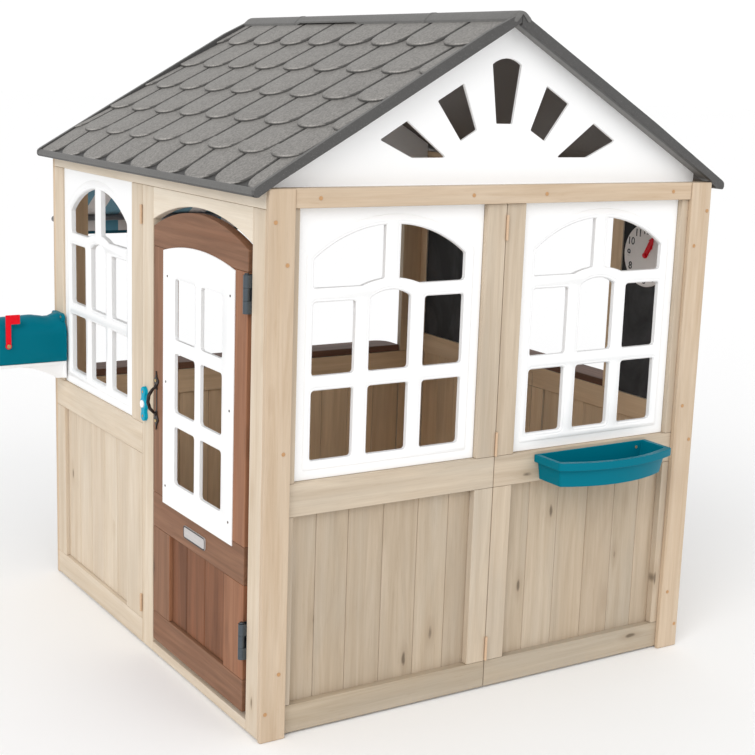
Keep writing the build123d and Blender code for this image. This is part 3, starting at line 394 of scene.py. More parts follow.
# a lighter copy of the side tones for the left top rail and the door header: painted light
# against the shade under the eave
TOP_PAINTED_LIGHT_TONES = tones((238, 227, 210), (230, 217, 198), (208, 192, 168))
POST_TONES = tones((212, 193, 170), (199, 177, 151), (174, 147, 120))
RAIL_TONES = tones((150, 110, 85), (129, 93, 70), (95, 67, 50))
STILE_TONES = tones((168, 120, 90), (147, 102, 75), (108, 72, 53))
PLANK_TONES = tones((135, 89, 62), (114, 74, 50), (79, 50, 34))
COUNTER_TONES = tones((132, 96, 78), (106, 76, 60), (70, 46, 36))


def make_materials():
    # inward points into the house; faces that way get painted light
    wood("wood_front", END_TONES, wash=0.45, inward=TO_BACK, vary=0.12)
    wood("wood_front_low_painted_shade", LOW_PAINTED_SHADE_TONES, wash=0.40, inward=TO_BACK, vary=0.10, knots=0.80)
    wood("wood_front_bottom_painted_shade", BOTTOM_PAINTED_SHADE_TONES, wash=0.40, inward=TO_BACK, vary=0.08, knots=0.80)
    wood("wood_left", SIDE_TONES, wash=0.20, inward=TO_RIGHT, vary=0.07)
    wood("wood_left_top_painted_light", TOP_PAINTED_LIGHT_TONES, wash=0.10, inward=TO_RIGHT, vary=0.05)
    wood("wood_back", END_TONES, wash=0.35, inward=TO_FRONT, vary=0.12)
    wood("wood_right", SIDE_TONES, wash=0.35, inward=TO_LEFT, vary=0.10)
    wood("wood_posts", POST_TONES, wash=0.12, inward=TO_BACK, vary=0.05, knots=0.90)
    wood("wood_back_posts", POST_TONES, wash=0.12, inward=TO_FRONT, vary=0.05, knots=0.90)
    # the door's inner faces get half the painted inside light
    door = dict(inward=TO_RIGHT, inside=0.5, rough=0.55)
    wood("wood_door_rails", RAIL_TONES, red=0.12, vary=0.12, knots=0.92, ring=0.22, **door)
    wood("wood_door_stiles", STILE_TONES, red=0.45, vary=0.10, knots=0.92, ring=0.22, **door)
    wood("wood_door_planks", PLANK_TONES, red=0.25, vary=0.18, knots=0.90, ring=0.25, **door)
    wood("wood_counter", COUNTER_TONES, vary=0.08, knots=0.95, rough=0.5)
    plastic("plastic_white", (246, 246, 246), rough=0.34, bump=0.03, mottle=0.006)
    roof_plastic("plastic_roof", (128, 125, 121), streak=0.40, grit=0.55)
    roof_plastic("plastic_roof_rim", (73, 72, 71), streak=0.12, grit=0.12)
    # the eave lip's colour, also used as a painted highlight on the rims' top faces
    roof_plastic("plastic_roof_lip_and_rim_highlight", (98, 97, 95), streak=0.10, grit=0.10)
    roof_plastic("plastic_roof_under", (122, 121, 119), streak=0.10, grit=0.10)
    roof_plastic("plastic_ridge_cap", (104, 103, 101), streak=0.14, grit=0.15)
    roof_plastic("plastic_roof_inside_painted_warm_shade", (82, 74, 67), streak=0.10, grit=0.10)
    # painted shade: the dark top of the sheet under the shingles, seen in the seams
    roof_plastic("plastic_roof_painted_shade", (58, 57, 56), streak=0.10, grit=0.2)
    plastic("plastic_teal", (0, 111, 130), rough=0.34, bump=0.03, spec=0.06)
    plastic("plastic_bell", (0, 156, 186), rough=0.30, bump=0.03, spec=0.10)
    plastic("plastic_red", (236, 12, 34), rough=0.32, bump=0.03, spec=0.2)
    plastic("plastic_dial", (250, 244, 240), rough=0.5, bump=0.02)
    plastic("dial_ink", (40, 40, 44), rough=0.6, bump=0.0)
    chalkboard("chalkboard_black")
    metal("painted_tube", (96, 96, 100), rough=0.42, metallic=0.2)
    metal("black_iron", (42, 33, 30), rough=0.36, metallic=0.5, brush=(200, 200, 200), bump=0.15)
    metal("hinge_steel", (84, 92, 98), rough=0.40, metallic=0.8)
    metal("copper_plate", (208, 178, 148), rough=0.38, metallic=0.30)
    metal("screw_plate", (196, 152, 108), rough=0.40, metallic=0.6)
    metal("screw_dark", (74, 66, 60), rough=0.45, metallic=0.5)
    metal("brass_plate", (206, 176, 124), rough=0.30)
    metal("name_plate", (196, 192, 190), rough=0.5, metallic=0.15)
    metal("name_plate_rim", (52, 48, 50), rough=0.4, metallic=0.4)
    fabric("awning_cloth")


# ============================================================== mesh helpers
def add_attribute(mesh, name, kind, values):
    attribute = mesh.attributes.new(name, kind, "POINT")
    field = "vector" if kind == "FLOAT_VECTOR" else "value"
    attribute.data.foreach_set(field, np.array(values, np.float32).reshape(-1))


def smooth_faces(mesh):
    mesh.polygons.foreach_set("use_smooth", [True] * len(mesh.polygons))


def index_faces(thing, material_of):
    """Sets each face's material index from a function of the face."""
    faces = thing.data.polygons
    faces.foreach_set("material_index", [int(material_of(face)) for face in faces])


def round_edges(thing, width, segments, angle):
    """Bevels edges above an angle in degrees; the width is in mm."""
    bevel = thing.modifiers.new("round", "BEVEL")
    bevel.width = width / 1000.0
    bevel.segments = segments
    bevel.limit_method = "ANGLE"
    bevel.angle_limit = math.radians(angle)
    bevel.harden_normals = True
    return bevel


def recalculate_normals(mesh):
    work = bmesh.new()
    work.from_mesh(mesh)
    bmesh.ops.recalc_face_normals(work, faces=work.faces)
    work.to_mesh(mesh)
    work.free()


def sharpen(thing, degrees):
    """Smooth faces with hard edges above an angle."""
    smooth_faces(thing.data)
    work = bmesh.new()
    work.from_mesh(thing.data)
    limit = math.radians(degrees)
    for edge in work.edges:
        edge.smooth = len(edge.link_faces) == 2 and edge.calc_face_angle(0.0) < limit
    work.to_mesh(thing.data)
    work.free()


def make_piece(name, verts, faces, materials, body="house"):
    mesh = bpy.data.meshes.new(name)
    mesh.from_pydata(verts, [], faces)
    mesh.validate()
    mesh.update()
    thing = bpy.data.objects.new(name, mesh)
    bpy.context.scene.collection.objects.link(thing)
    for material in materials:
        mesh.materials.append(MATERIALS[material])
    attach(thing, body)
    return thing


def finish_piece(thing, node, sharp=38):
    sharpen(thing, sharp)
    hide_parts(node)


def band(first, second, count):
    """Faces that join two closed rings of vertices."""
    return [(first + i, first + (i + 1) % count, second + (i + 1) % count, second + i)
            for i in range(count)]


def fill(*loops):
    """Triangles that fill an outline; further loops are holes."""
    return tessellate_polygon([[Vector((*point, 0)) for point in loop] for loop in loops])


class Shells:
    """Collects closed shells into one mesh."""

    def __init__(self):
        self.verts, self.faces, self.indices, self.edge = [], [], [], []

    def add(self, verts, faces, index=0, edge=None):
        start = len(self.verts)
        self.verts += verts
        self.edge += edge or [0.0] * len(verts)
        self.faces += [tuple(i + start for i in face) for face in faces]
        self.indices += [index] * len(faces)

    def loft(self, rings, ends=None, index=0, edge=None):
        """Joins rings of points; ends holds the triangles of both ends, else one face each."""
        verts = [point for ring in rings for point in ring]
        count = len(rings[0])
        last = len(verts) - count
        faces = []
        for start in range(0, last, count):
            faces += band(start, start + count, count)
        for base, triangles in zip((0, last), ends or ([range(count)], [range(count)])):
            faces += [tuple(base + i for i in triangle) for triangle in triangles]
        self.add(verts, faces, index, edge)

    def prism(self, profile, place, start, end, index=0):
        """A closed prism of a profile between two levels."""
        rings = [[place(*point, level) for point in profile] for level in (start, end)]
        triangles = fill(profile)
        self.loft(rings, (triangles, [triangle[::-1] for triangle in triangles]), index)

    def plate(self, outline, holes, place, front, back, hole_bevel=(0, 0), rim_bevel=(0, 0),
              hole_back=(0, 0)):
        """A plate with holes between two depths. Bevels are (width, depth): at the front of
        the holes, at the front of the rim, and at the back of the holes."""
        verts, faces, fronts, backs = [], [], [], []
        for number, loop in enumerate([outline] + holes):
            is_rim = number == 0
            width, depth = rim_bevel if is_rim else hole_bevel
            rows = [(loop, front)]
            if width:
                rows = [(offset(loop, -width if is_rim else width), front),
                        (loop, front + depth)]
            width, depth = (0, 0) if is_rim else hole_back
            if width:
                rows += [(loop, back - depth), (offset(loop, width), back)]
            else:
                rows.append((loop, back))
            starts = []
            for ring, level in rows:
                starts.append(len(verts))
                verts += [place(*point, level) for point in ring]
            for first, second in zip(starts, starts[1:]):
                faces += band(first, second, len(loop))
            fronts.append((starts[0], rows[0][0]))
            backs.append((starts[-1], rows[-1][0]))
        for group in (fronts, backs):
            order = [start + i for start, ring in group for i in range(len(ring))]
            triangles = fill(*[ring for start, ring in group])
            faces += [tuple(order[i] for i in triangle) for triangle in triangles]
        self.add(verts, faces)

    def make(self, name, *materials, body="house"):
        thing = make_piece(name, self.verts, self.faces, materials, body)
        thing.data.polygons.foreach_set("material_index", self.indices)
        # edge values are painted highlight and shade, read by the roof material
        if any(self.edge):
            add_attribute(thing.data, "edge", "FLOAT", self.edge)
        recalculate_normals(thing.data)
        return thing


# =========================================================== outline helpers
def corners(loop):
    """Each point of a closed outline with the (x, y, length) steps before and after it."""
    steps = [(x1 - x0, y1 - y0, math.hypot(x1 - x0, y1 - y0) or 1e-9)
             for (x0, y0), (x1, y1) in zip(loop, loop[1:] + loop[:1])]
    return zip(loop, steps[-1:] + steps[:-1], steps)


def offset(loop, distance):
    """Moves a closed outline outwards (inwards if negative)."""
    area = sum(p[0] * q[1] - q[0] * p[1] for p, q in zip(loop, loop[1:] + loop[:1]))
    turn = 1.0 if area > 0 else -1.0
    moved = []
    for (x, y), (in_x, in_y, in_length), (out_x, out_y, out_length) in corners(loop):
        normal_x = in_y / in_length * turn + out_y / out_length * turn
        normal_y = -in_x / in_length * turn - out_x / out_length * turn
        stretch = 2.0 / max(normal_x * normal_x + normal_y * normal_y, 0.5)
        moved.append((x + normal_x * stretch * distance, y + normal_y * stretch * distance))
    return moved


def rounded(loop, radius, steps=6, least_turn=24):
    """Rounds the corners that turn by at least an angle in degrees."""
    pull = 0.92  # weight of the old corner in the curve
    result = []
    for (x, y), (in_x, in_y, in_length), (out_x, out_y, out_length) in corners(loop):
        cosine = (in_x * out_x + in_y * out_y) / (in_length * out_length)
        angle = math.acos(max(-1, min(1, cosine)))
        if math.degrees(angle) < least_turn:
            result.append((x, y))
            continue
        cut = min(radius * math.tan(angle / 2), in_length * 0.49, out_length * 0.49)
        x0, y0 = x - in_x / in_length * cut, y - in_y / in_length * cut
        x1, y1 = x + out_x / out_length * cut, y + out_y / out_length * cut
        for step in range(steps + 1):
            t = step / steps
            start, middle, end = (1 - t) ** 2, 2 * t * (1 - t) * pull, t * t
            total = start + middle + end
            result.append(((start * x0 + middle * x + end * x1) / total,
                           (start * y0 + middle * y + end * y1) / total))
    return result


def arc(left, right, spring, crown, steps):
    """Points of a circular arch from its left end to its right end."""
    half, rise = (right - left) / 2, crown - spring
    radius = (half * half + rise * rise) / (2 * rise)
    middle = (left + right) / 2
    points = []
    for i in range(steps + 1):
        x = left + (right - left) * i / steps
        points.append((x, crown - radius + math.sqrt(radius * radius - (x - middle) ** 2)))
    return points


def box(left, bottom, right, top):
    return [(left, bottom), (right, bottom), (right, top), (left, top)]


def arched(left, right, bottom, spring, crown, steps):
    """A box with an arched top."""
    return [(left, bottom), (right, bottom)] + arc(left, right, spring, crown, steps)[::-1]


# ================================================================ CAD pieces
# wooden node: its material
WOODEN = {
    "corner_boards": "wood_posts", "top_trims": "wood_posts",
    "front_bottom_rails": "wood_front_bottom_painted_shade", "front_mid_rails": "wood_front",
    "front_top_rails": "wood_front", "front_stiles": "wood_front",
    "front_planks": "wood_front_low_painted_shade", "left_rails": "wood_left",
    "left_top_rail": "wood_left_top_painted_light", "left_stiles": "wood_left", "left_planks": "wood_left",
    "door_posts": "wood_left", "door_header": "wood_left_top_painted_light", "door_sill": "wood_left",
    "back_rails": "wood_back", "back_stiles": "wood_back", "back_planks": "wood_back",
    "right_rails": "wood_right", "right_stiles": "wood_right", "right_planks": "wood_right",
    "back_counter": "wood_counter", "right_counter": "wood_counter",
    "door_stiles": "wood_door_stiles", "door_arched_rail": "wood_door_rails",
    "door_mid_rail": "wood_door_rails", "door_bottom_rail": "wood_door_rails",
    "door_planks": "wood_door_planks",
}
WOOD_SLOTS = {
    "wood_posts": "post_wood", "wood_door_rails": "door_wood", "wood_door_stiles": "door_wood",
    "wood_door_planks": "door_wood", "wood_counter": "counter_wood",
}
# other node: its material, width of its rounded edges in mm
FITTINGS = {
    "chalkboards": ("chalkboard_black", 0.6), "flower_box": ("plastic_teal", 1.6),
    "mailbox_body": ("plastic_teal", 0.9), "mailbox_door": ("plastic_teal", 1.0),
    "mailbox_flag": ("plastic_red", 0.6), "mailbox_bracket": ("plastic_white", 1.0),
    "mailbox_pins": ("brass_plate", 0.6), "doorbell_plate": ("plastic_bell", 0.6),
    "doorbell_button": ("plastic_white", 0.4), "clock_face": ("plastic_dial", 0.6),
    "clock_hour_hand": ("plastic_red", 0.3), "clock_minute_hand": ("plastic_red", 0.3),
    "clock_pin": ("plastic_red", 0.5), "seam_hinges": ("copper_plate", 0.25),
    "door_hinge_frame_leaves": ("hinge_steel", 0.4),
    "door_hinge_door_leaves": ("hinge_steel", 0.4), "door_hinge_pins": ("hinge_steel", 0.6),
    "frame_screws": ("screw_plate", 0.7), "door_screws": ("screw_dark", 0.45),
    "door_handle": ("black_iron", 0.6), "door_nameplate": ("name_plate", 0.4),
    "awning_frame": ("painted_tube", 0.6),
}
HANDLE_Y = 507.0
PULL = (-20, HANDLE_Y, 597)  # middle of the door's pull


def components(mesh):
    """Vertex places and the component number of each, joining vertices at the same place."""
    points = np.empty(len(mesh.vertices) * 3, np.float32)
    mesh.vertices.foreach_get("co", points)
    points = points.reshape(-1, 3)
    keys = np.round(points * 100000).astype(np.int64)
    _, spots = np.unique(keys, axis=0, return_inverse=True)
    spots = spots.reshape(-1)
    ends = np.empty(len(mesh.edges) * 2, np.int64)
    mesh.edges.foreach_get("vertices", ends)
    ends = spots[ends.reshape(-1, 2)]
    labels = np.arange(spots.max() + 1)
    while True:
        before = labels.copy()
        lowest = np.minimum(labels[ends[:, 0]], labels[ends[:, 1]])
        np.minimum.at(labels, ends[:, 0], lowest)
        np.minimum.at(labels, ends[:, 1], lowest)
        labels = labels[labels]
        if (labels == before).all():
            break
    _, numbers = np.unique(labels[spots], return_inverse=True)
    return points, numbers.reshape(-1)


def add_grain(thing, seed, along=None):
    """Gives each board its own coordinates, x along its length or along a given axis."""
    points, numbers = components(thing.data)
    random = np.random.default_rng(seed)
    grain = np.zeros_like(points)
    board = np.zeros(len(points), np.float32)
    for number in range(numbers.max() + 1):
        chosen = numbers == number
        low, high = points[chosen].min(0), points[chosen].max(0)
        order = np.argsort(-(high - low))
        if along is not None:
            order = [along] + [int(i) for i in order if i != along]
        centred = (points[chosen] - (low + high) / 2)[:, order]
        grain[chosen] = centred + random.uniform(-20, 20, 3)
        board[chosen] = random.uniform(0, 1)
    add_attribute(thing.data, "gc", "FLOAT_VECTOR", grain)
    add_attribute(thing.data, "pid", "FLOAT", board)


def soften(thing, width, angle):
    """Welds the imported faces and rounds the edges, with modifiers only."""
    mesh = thing.data
    if "custom_normal" in mesh.attributes:
        mesh.attributes.remove(mesh.attributes["custom_normal"])
    smooth_faces(mesh)
    weld = thing.modifiers.new("weld", "WELD")
    weld.merge_threshold = 0.00001
    flatten = thing.modifiers.new("flat", "DECIMATE")
    flatten.decimate_type = "DISSOLVE"
    flatten.angle_limit = math.radians(0.6)
    round_edges(thing, width, segments=2, angle=angle).miter_outer = "MITER_ARC"


def paint(thing, material):
    thing.data.materials.clear()
    thing.data.materials.append(MATERIALS[material])
    index_faces(thing, lambda face: 0)


def repaint(thing, material, is_chosen):
    """Gives the chosen faces a second material."""
    thing.data.materials.append(MATERIALS[material])
    index_faces(thing, is_chosen)


def repaint_near_pull(thing, material, reach_y, reach_z):
    """Gives the faces near the pull a second material; the reaches are in metres."""
    pull = thing.matrix_world.inverted() @ Vector(metres(*PULL))
    repaint(thing, material, lambda face: abs(face.center.y - pull.y) < reach_y
            and abs(face.center.z - pull.z) < reach_z)


def dress_cad_pieces():
    for number, (name, material) in enumerate(WOODEN.items()):
        thing = nodes[name]
        along = 1 if name in ("door_arched_rail", "door_header") else None
        add_grain(thing, 100 + number, along)
        paint(thing, material)
        wide = name.startswith("corner") or "planks" in name
        soften(thing, 2.2 if wide else 1.7, angle=32)
        WOOD_SLOTS.get(material, "wall_wood")
    for name, (material, width) in FITTINGS.items():
        paint(nodes[name], material)
        soften(nodes[name], width, angle=34)
    # the screws of the pull are brass
    repaint_near_pull(nodes["door_screws"], "brass_plate", 0.014, 0.07)
    # the stile beside the pull is a browner board
    repaint_near_pull(nodes["door_stiles"], "wood_door_rails", 0.06, math.inf)
    # the nameplate's raised border is darker than its blank face
    plate = nodes["door_nameplate"]
    verts = plate.data.vertices
    outermost = min(vert.co.x for vert in verts)
    repaint(plate, "name_plate_rim",
            lambda face: all(abs(verts[i].co.x - outermost) < 0.0004 for i in face.vertices))
    # rear boards' inner faces look to the front, so they take a copy whose painted inside light
    # falls on the faces towards the front
    for name in ("corner_boards", "top_trims"):
        repaint(nodes[name], "wood_back_posts", lambda face: face.center.y > 0)


# =================================================================== windows
WINDOW_WIDTH, WINDOW_MARGIN, WINDOW_BAR = 436.0, 40.0, 32.5
PANE_WIDTH = (WINDOW_WIDTH - 2 * WINDOW_MARGIN - 2 * WINDOW_BAR) / 3
# heights of the panes
LOWER_BOTTOM, LOWER_TOP, UPPER_BOTTOM, UPPER_TOP = 563.0, 704.5, 733.5, 878.5
MIDDLE_SPRING, MIDDLE_CROWN = 881.0, 895.5
# the two panes under the arch, over a humped bar
FAN_BOTTOM, FAN_SPRING, FAN_CROWN = 906.0, 962.0, 1025.5
HUMP_HALF, HUMP_CROWN = 68, 919.0
FRAME_BOTTOM = 526.6
# door window: spans of its panes in y and z
DOOR_COLUMNS = ((187.5, 287.5), (314.5, 414.5))
DOOR_ROWS = ((430.0, 558.0), (589.0, 718.0), (747.0, 877.0))


def height_at(points, position):
    for (x0, z0), (x1, z1) in zip(points, points[1:]):
        if x0 <= position <= x1:
            return z0 + (z1 - z0) * (position - x0) / (x1 - x0)


def window_panes():
    loops = []
    for i in range(3):
        left = WINDOW_MARGIN + i * (PANE_WIDTH + WINDOW_BAR)
        right = left + PANE_WIDTH
        loops.append(box(left, LOWER_BOTTOM, right, LOWER_TOP))
        if i == 1:
            loops.append(arched(left, right, UPPER_BOTTOM, MIDDLE_SPRING, MIDDLE_CROWN, 14))
        else:
            loops.append(box(left, UPPER_BOTTOM, right, UPPER_TOP))
    centre = WINDOW_WIDTH / 2
    arch = arc(WINDOW_MARGIN, WINDOW_WIDTH - WINDOW_MARGIN, FAN_SPRING, FAN_CROWN, 56)
    hump = arc(centre - HUMP_HALF, centre + HUMP_HALF, FAN_BOTTOM, HUMP_CROWN, 16)
    inner = centre - WINDOW_BAR / 2
    fan = [(WINDOW_MARGIN, FAN_BOTTOM)] + [point for point in hump if point[0] < inner - 1]
    fan += [(inner, height_at(hump, inner)), (inner, height_at(arch, inner))]
    fan += [point for point in arch if point[0] < inner - 1][::-1]
    loops.append(fan)
    loops.append([(WINDOW_WIDTH - x, z) for x, z in fan[::-1]])
    return [rounded(loop, 8.0) for loop in loops]


def build_window(name, node, place, flange):
    """The moulded insert: a body with bevelled panes, a raised moulding and, for the front
    windows, a flange behind."""
    shells = Shells()
    panes = window_panes()
    outline = box(0.6, FRAME_BOTTOM, WINDOW_WIDTH - 0.6, 1061.4 if flange else 1060.4)
    shells.plate(outline, panes, place, 0.0, 6.0 if flange else 14.0,
                 hole_bevel=(3.0, 3.0), rim_bevel=(1.0, 1.0))
    if flange:
        shells.plate(box(-12, 514, WINDOW_WIDTH + 12, 1074), panes, place, 6.0, 13.8,
                     hole_back=(1.0, 1.0))
    # raised moulding that follows the arch
    step = arched(22, WINDOW_WIDTH - 22, 545.5, 972.0, 1045.8, 56)
    shells.plate(rounded(step, 6.0), [offset(pane, 6.5) for pane in panes], place, -1.7, 0.0,
                 hole_bevel=(1.6, 1.2), rim_bevel=(1.8, 1.4))
    finish_piece(shells.make(name, "plastic_white"), node)


def build_windows():
    # x of the left edge of each front window
    for side, left in (("left", 73.0), ("right", 607.0)):
        build_window(f"front_window_{side}_moulding", f"front_window_{side}",
                     lambda x, z, depth: metres(left + x, 24 + depth, z), flange=True)
    build_window("left_window_moulding", "left_window",
                 lambda x, z, depth: metres(5 + depth, 1085.5 - x, z), flange=False)


def build_door_window():
    """Wide bevels on six panes, with an arched flange on the outside."""
    shells = Shells()
    panes = [rounded(box(y0, z0, y1, z1), 9.0)
             for y0, y1 in DOOR_COLUMNS for z0, z1 in DOOR_ROWS]
    shells.plate(arched(132, 470, 374, 932.0, 951.4, 30), panes, on_wall, -3.0, -0.2,
                 hole_bevel=(7.5, 2.75), rim_bevel=(1.2, 1.2))
    shells.plate(box(167.6, 385.9, 437.9, 934.1), panes, on_wall, -0.2, 8.0,
                 hole_back=(1.0, 1.0))
    moulding = shells.make("door_window_moulding", "plastic_white", body="door")
    finish_piece(moulding, "door_window")


# ==================================================================== gables
# right-hand ray holes as (x from the ridge, z); the left ones mirror them
RAYS = [
    [(-107, 1186.5), (-68, 1208.8), (-105.3, 1299.6), (-166.5, 1264.3)],
    [(-223, 1153.3), (-141, 1153.3), (-237, 1224.7), (-298.7, 1188)],
]
GABLE_INSET, GABLE_BOTTOM, GABLE_DROP = 22, 1075, 12.5


def build_gable(side, outer_y, inward):
    """inward is 1 where the inside lies towards the back, else -1."""
    def place(x, z, depth):
        return metres(x, outer_y + inward * depth, z)

    middle = [(RIDGE_X - 20.5, 1221.5), (RIDGE_X + 20.5, 1221.5)]
    middle += arc(RIDGE_X - 36.5, RIDGE_X + 36.5, 1339.5, 1352.0, 12)[::-1]
    holes = [rounded(middle, 2.5, 4)]
    for ray in RAYS:
        for mirror in (1, -1):
            loop = [(RIDGE_X + mirror * x, z) for x, z in ray]
            holes.append(rounded(loop, 2.5, 4, 20))
    left, right = GABLE_INSET, WIDTH - GABLE_INSET
    outline = [(left, GABLE_BOTTOM), (right, GABLE_BOTTOM), (right, roof_top(right) - GABLE_DROP),
               (RIDGE_X, RIDGE_Z - GABLE_DROP), (left, roof_top(left) - GABLE_DROP)]
    shells = Shells()
    shells.plate(outline, holes, place, 0.0, 8.0,
                 hole_bevel=(1.2, 1.2), rim_bevel=(0.8, 0.8), hole_back=(0.8, 0.8))
    shells.prism(box(24, GABLE_BOTTOM, WIDTH - 24, 1098), place, -7.6, 0.0)
    gable = shells.make(f"{side}_gable_moulding", "plastic_white")
    finish_piece(gable, f"{side}_gable")


# ====================================================================== roof
ROOF_FRONT, ROOF_BACK = -4.0, 1172.0
ROOF_END_X = RIDGE_X - 0.4
SHINGLE_PITCH, SHINGLE_GAP = 140.0, 3.9
SHINGLES_FRONT, SHINGLES_BACK = 10.6, 1157.4
TIP_DEPTH = 40.0
# distances up the slope of each course's lower tips and upper ends
COURSE_TIPS = [0.5, 101.0, 209.0, 319.0, 430.0, 549.0]
COURSE_ENDS = ([COURSE_TIPS[0] + 148] + [tip + 164 for tip in COURSE_TIPS[1:-1]] + [664.0])
LOW_LEVEL = -8.2  # lowest top surface of a shingle, below the roof line
# rings of a shingle from its foot up: (inset, drop below the top); None is the foot
SHINGLE_RINGS = [(0.0, None), (0.0, -3.2), (1.1, -1.2), (4.2, 0.0)]
# rolled lip along the eave, (x, z)
EAVE_LIP = [
    (-19, 1088), (-19.5, 1095), (-22, 1099.4), (-25.4, 1101.4), (-28.6, 1100.9),
    (-31.2, 1098.9), (-33.1, 1095.8), (-34, 1092.4), (-33.4, 1089.0), (-31.8, 1085.8),
    (-28.6, 1084.2), (-23, 1084.8),
]


def on_slope(up, out):
    """(x, z) at a distance up the left slope from the eave and out of its surface."""
    return (EAVE_X + up * math.cos(ROOF_ANGLE) - out * math.sin(ROOF_ANGLE),
            EAVE_Z + up * math.sin(ROOF_ANGLE) + out * math.cos(ROOF_ANGLE))


def shingle_tint(ring, across):
    """Painted shade on the shingle's sides and in the seams, with a painted highlight on the
    lower end; across runs -1 to 1.
    """
    # the side walls (rings 0 and 1) take painted shade; the top (ring 3) none
    ring_painted_shade = {0: -1.0, 1: -0.85, 3: 0.0}
    if ring in ring_painted_shade:
        return ring_painted_shade[ring]
    if abs(across) > 0.84:
        return -0.9
    from_highlight = abs(across + 0.35)
    return 1.5 * (1 - from_highlight / 0.55) if from_highlight < 0.55 else -0.35


def add_shingle(shells, centre, tip, upper_end, place):
    """One shingle: straight sides, rounded lower end and bevelled rim, thinner up the slope
    so that the next course laps over it. The eave course lies lower than the rest."""
    half = SHINGLE_PITCH / 2 - SHINGLE_GAP
    start, end = max(-half, SHINGLES_FRONT - centre), min(half, SHINGLES_BACK - centre)
    if end - start < 6:
        return
    steps = 26
    loop, across = [], []
    for i in range(steps + 1):
        side = start + (end - start) * i / steps
        curve = 1 - math.sqrt(max(0.0, 1 - (abs(side) / half) ** 2.3))
        loop.append((centre + side, tip + TIP_DEPTH * curve))
        across.append(side / half)
    loop += [(centre + end, upper_end), (centre + start, upper_end)]
    across += [1.0, -1.0]
    at_eave = tip < 50
    thinning = 11.8 if tip < 500 else 2.4

    def top(up):
        if at_eave:
            return LOW_LEVEL + 2.3 * (up - tip) / 100.0
        return max(-0.2 - thinning * (up - tip) / (upper_end - tip), LOW_LEVEL)

    def foot(up):
        """Underside of the shingle, kept inside the skin below it."""
        if at_eave:
            return -14.6 if up < 90 else -12.6
        return -11.2

    # edge holds the painted highlight and shade of each point
    rings, edge = [], []
    for number, (inset, drop) in enumerate(SHINGLE_RINGS):
        outline = offset(loop, -inset) if inset else loop
        ring = []
        for (y, up), position in zip(outline, across):
            out = foot(up) if drop is None else max(top(up) + drop, foot(up) + 0.3)
            ring.append(place(*on_slope(up, out), y))
            edge.append(shingle_tint(number, position))
        rings.append(ring)
    shells.loft(rings, (fill(loop), fill(outline)), edge=edge)


def build_shingles(side, place):
    shells = Shells()
    for course, (tip, upper_end) in enumerate(zip(COURSE_TIPS, COURSE_ENDS)):
        shift = 0.5 if course % 2 else 0.0
        for i in range(10):
            add_shingle(shells, 2 + SHINGLE_PITCH * (i + shift), tip, upper_end, place)
    shingles = shells.make(f"{side}_roof_shingles", "plastic_roof")
    sharpen(shingles, 42)


def roof_skin(place):
    """The thin sheet under the shingles; its dark top is painted shade that shows in the seams.
    """
    end_z = roof_top(ROOF_END_X)
    shells = Shells()
    shells.prism([on_slope(9, -16.0), on_slope(9, -13.0), on_slope(96, -12.0),
                  on_slope(106, -10.9), (ROOF_END_X, end_z - 12.0), (ROOF_END_X, end_z - 15.0),
                  on_slope(106, -13.9), on_slope(96, -15.0)],
                 place, ROOF_FRONT + 2, ROOF_BACK - 2)
    return shells


def roof_rims(place, crest):
    """Rolled eave lip, outer rims and shallow inner bands; crest raises the rims' upper part."""
    rim_depth = 24.5
    end_z = roof_top(ROOF_END_X)
    bend_x, bend_z = on_slope(250, 0)
    shells = Shells()
    shells.prism(EAVE_LIP, place, ROOF_FRONT + 0.5, ROOF_BACK - 0.5)
    rim = [(-34, 1092.0), (-33.6, 1097.4), (-31.6, 1101.2), on_slope(6, -5.4), (bend_x, bend_z),
           on_slope(590, crest), (ROOF_END_X, end_z + crest * 0.2),
           (ROOF_END_X, end_z - rim_depth + crest), (bend_x, bend_z - rim_depth),
           (20, roof_top(20) - 25.0)] + EAVE_LIP[-4:][::-1]
    for start, end in ((ROOF_FRONT, 7.2), (ROOF_BACK - 11.2, ROOF_BACK)):
        shells.prism(rim, place, start, end)
    low_z = 1100.6
    low_x = EAVE_X + (low_z + 22.5 - EAVE_Z) / SLOPE
    inner = [(low_x, low_z), (ROOF_END_X, end_z - 20.5), (ROOF_END_X, end_z - 10),
             (low_x - 14, roof_top(low_x - 14) - 10)]
    for start, end in ((10.2, 37.5), (1115.5, ROOF_BACK - 14.2)):
        shells.prism(inner, place, start, end, 1)
    return shells


def build_roof_side(side):
    right = side == "right"

    def place(x, z, y):
        return metres(WIDTH - x if right else x, y, z)

    build_shingles(side, place)
    skin = roof_skin(place).make(f"{side}_roof_skin", "plastic_roof_painted_shade", "plastic_roof_inside_painted_warm_shade")
    # faces looking down take a dark warm copy of the roof plastic: painted shade with warm bounce
    # light
    index_faces(skin, lambda face: face.normal.z < -0.1)
    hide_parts(f"{side}_roof_panel")

    rims = roof_rims(place, 0.0 if right else 6.0).make(
        f"{side}_roof_rims", "plastic_roof_rim", "plastic_roof_under", "plastic_roof_lip_and_rim_highlight")
    outward = Vector(((1 if right else -1) * math.sin(ROOF_ANGLE), 0, math.cos(ROOF_ANGLE)))

    def rim_material(face):
        """Top faces and the large faces beside the eave take the lip's lighter material; on the
        rims' tops it is a painted highlight.
        """
        on_top = face.normal.dot(outward) > 0.75
        at_eave = abs(face.normal.x) > 0.9 and face.area > 2e-3 and face.center.z < 1.103
        return 2 if (on_top or at_eave) and face.material_index == 0 else face.material_index

    index_faces(rims, rim_material)
    smooth_faces(rims.data)
    round_edges(rims, 3.2, segments=3, angle=35)


# ================================================================= ridge cap
CAP_HALF = 27.0
CAP_Z = RIDGE_Z + 1.3
CAP_FRONT, CAP_JOINTS, CAP_BACK = -5.6, (314.0, 893.0), 1173.6
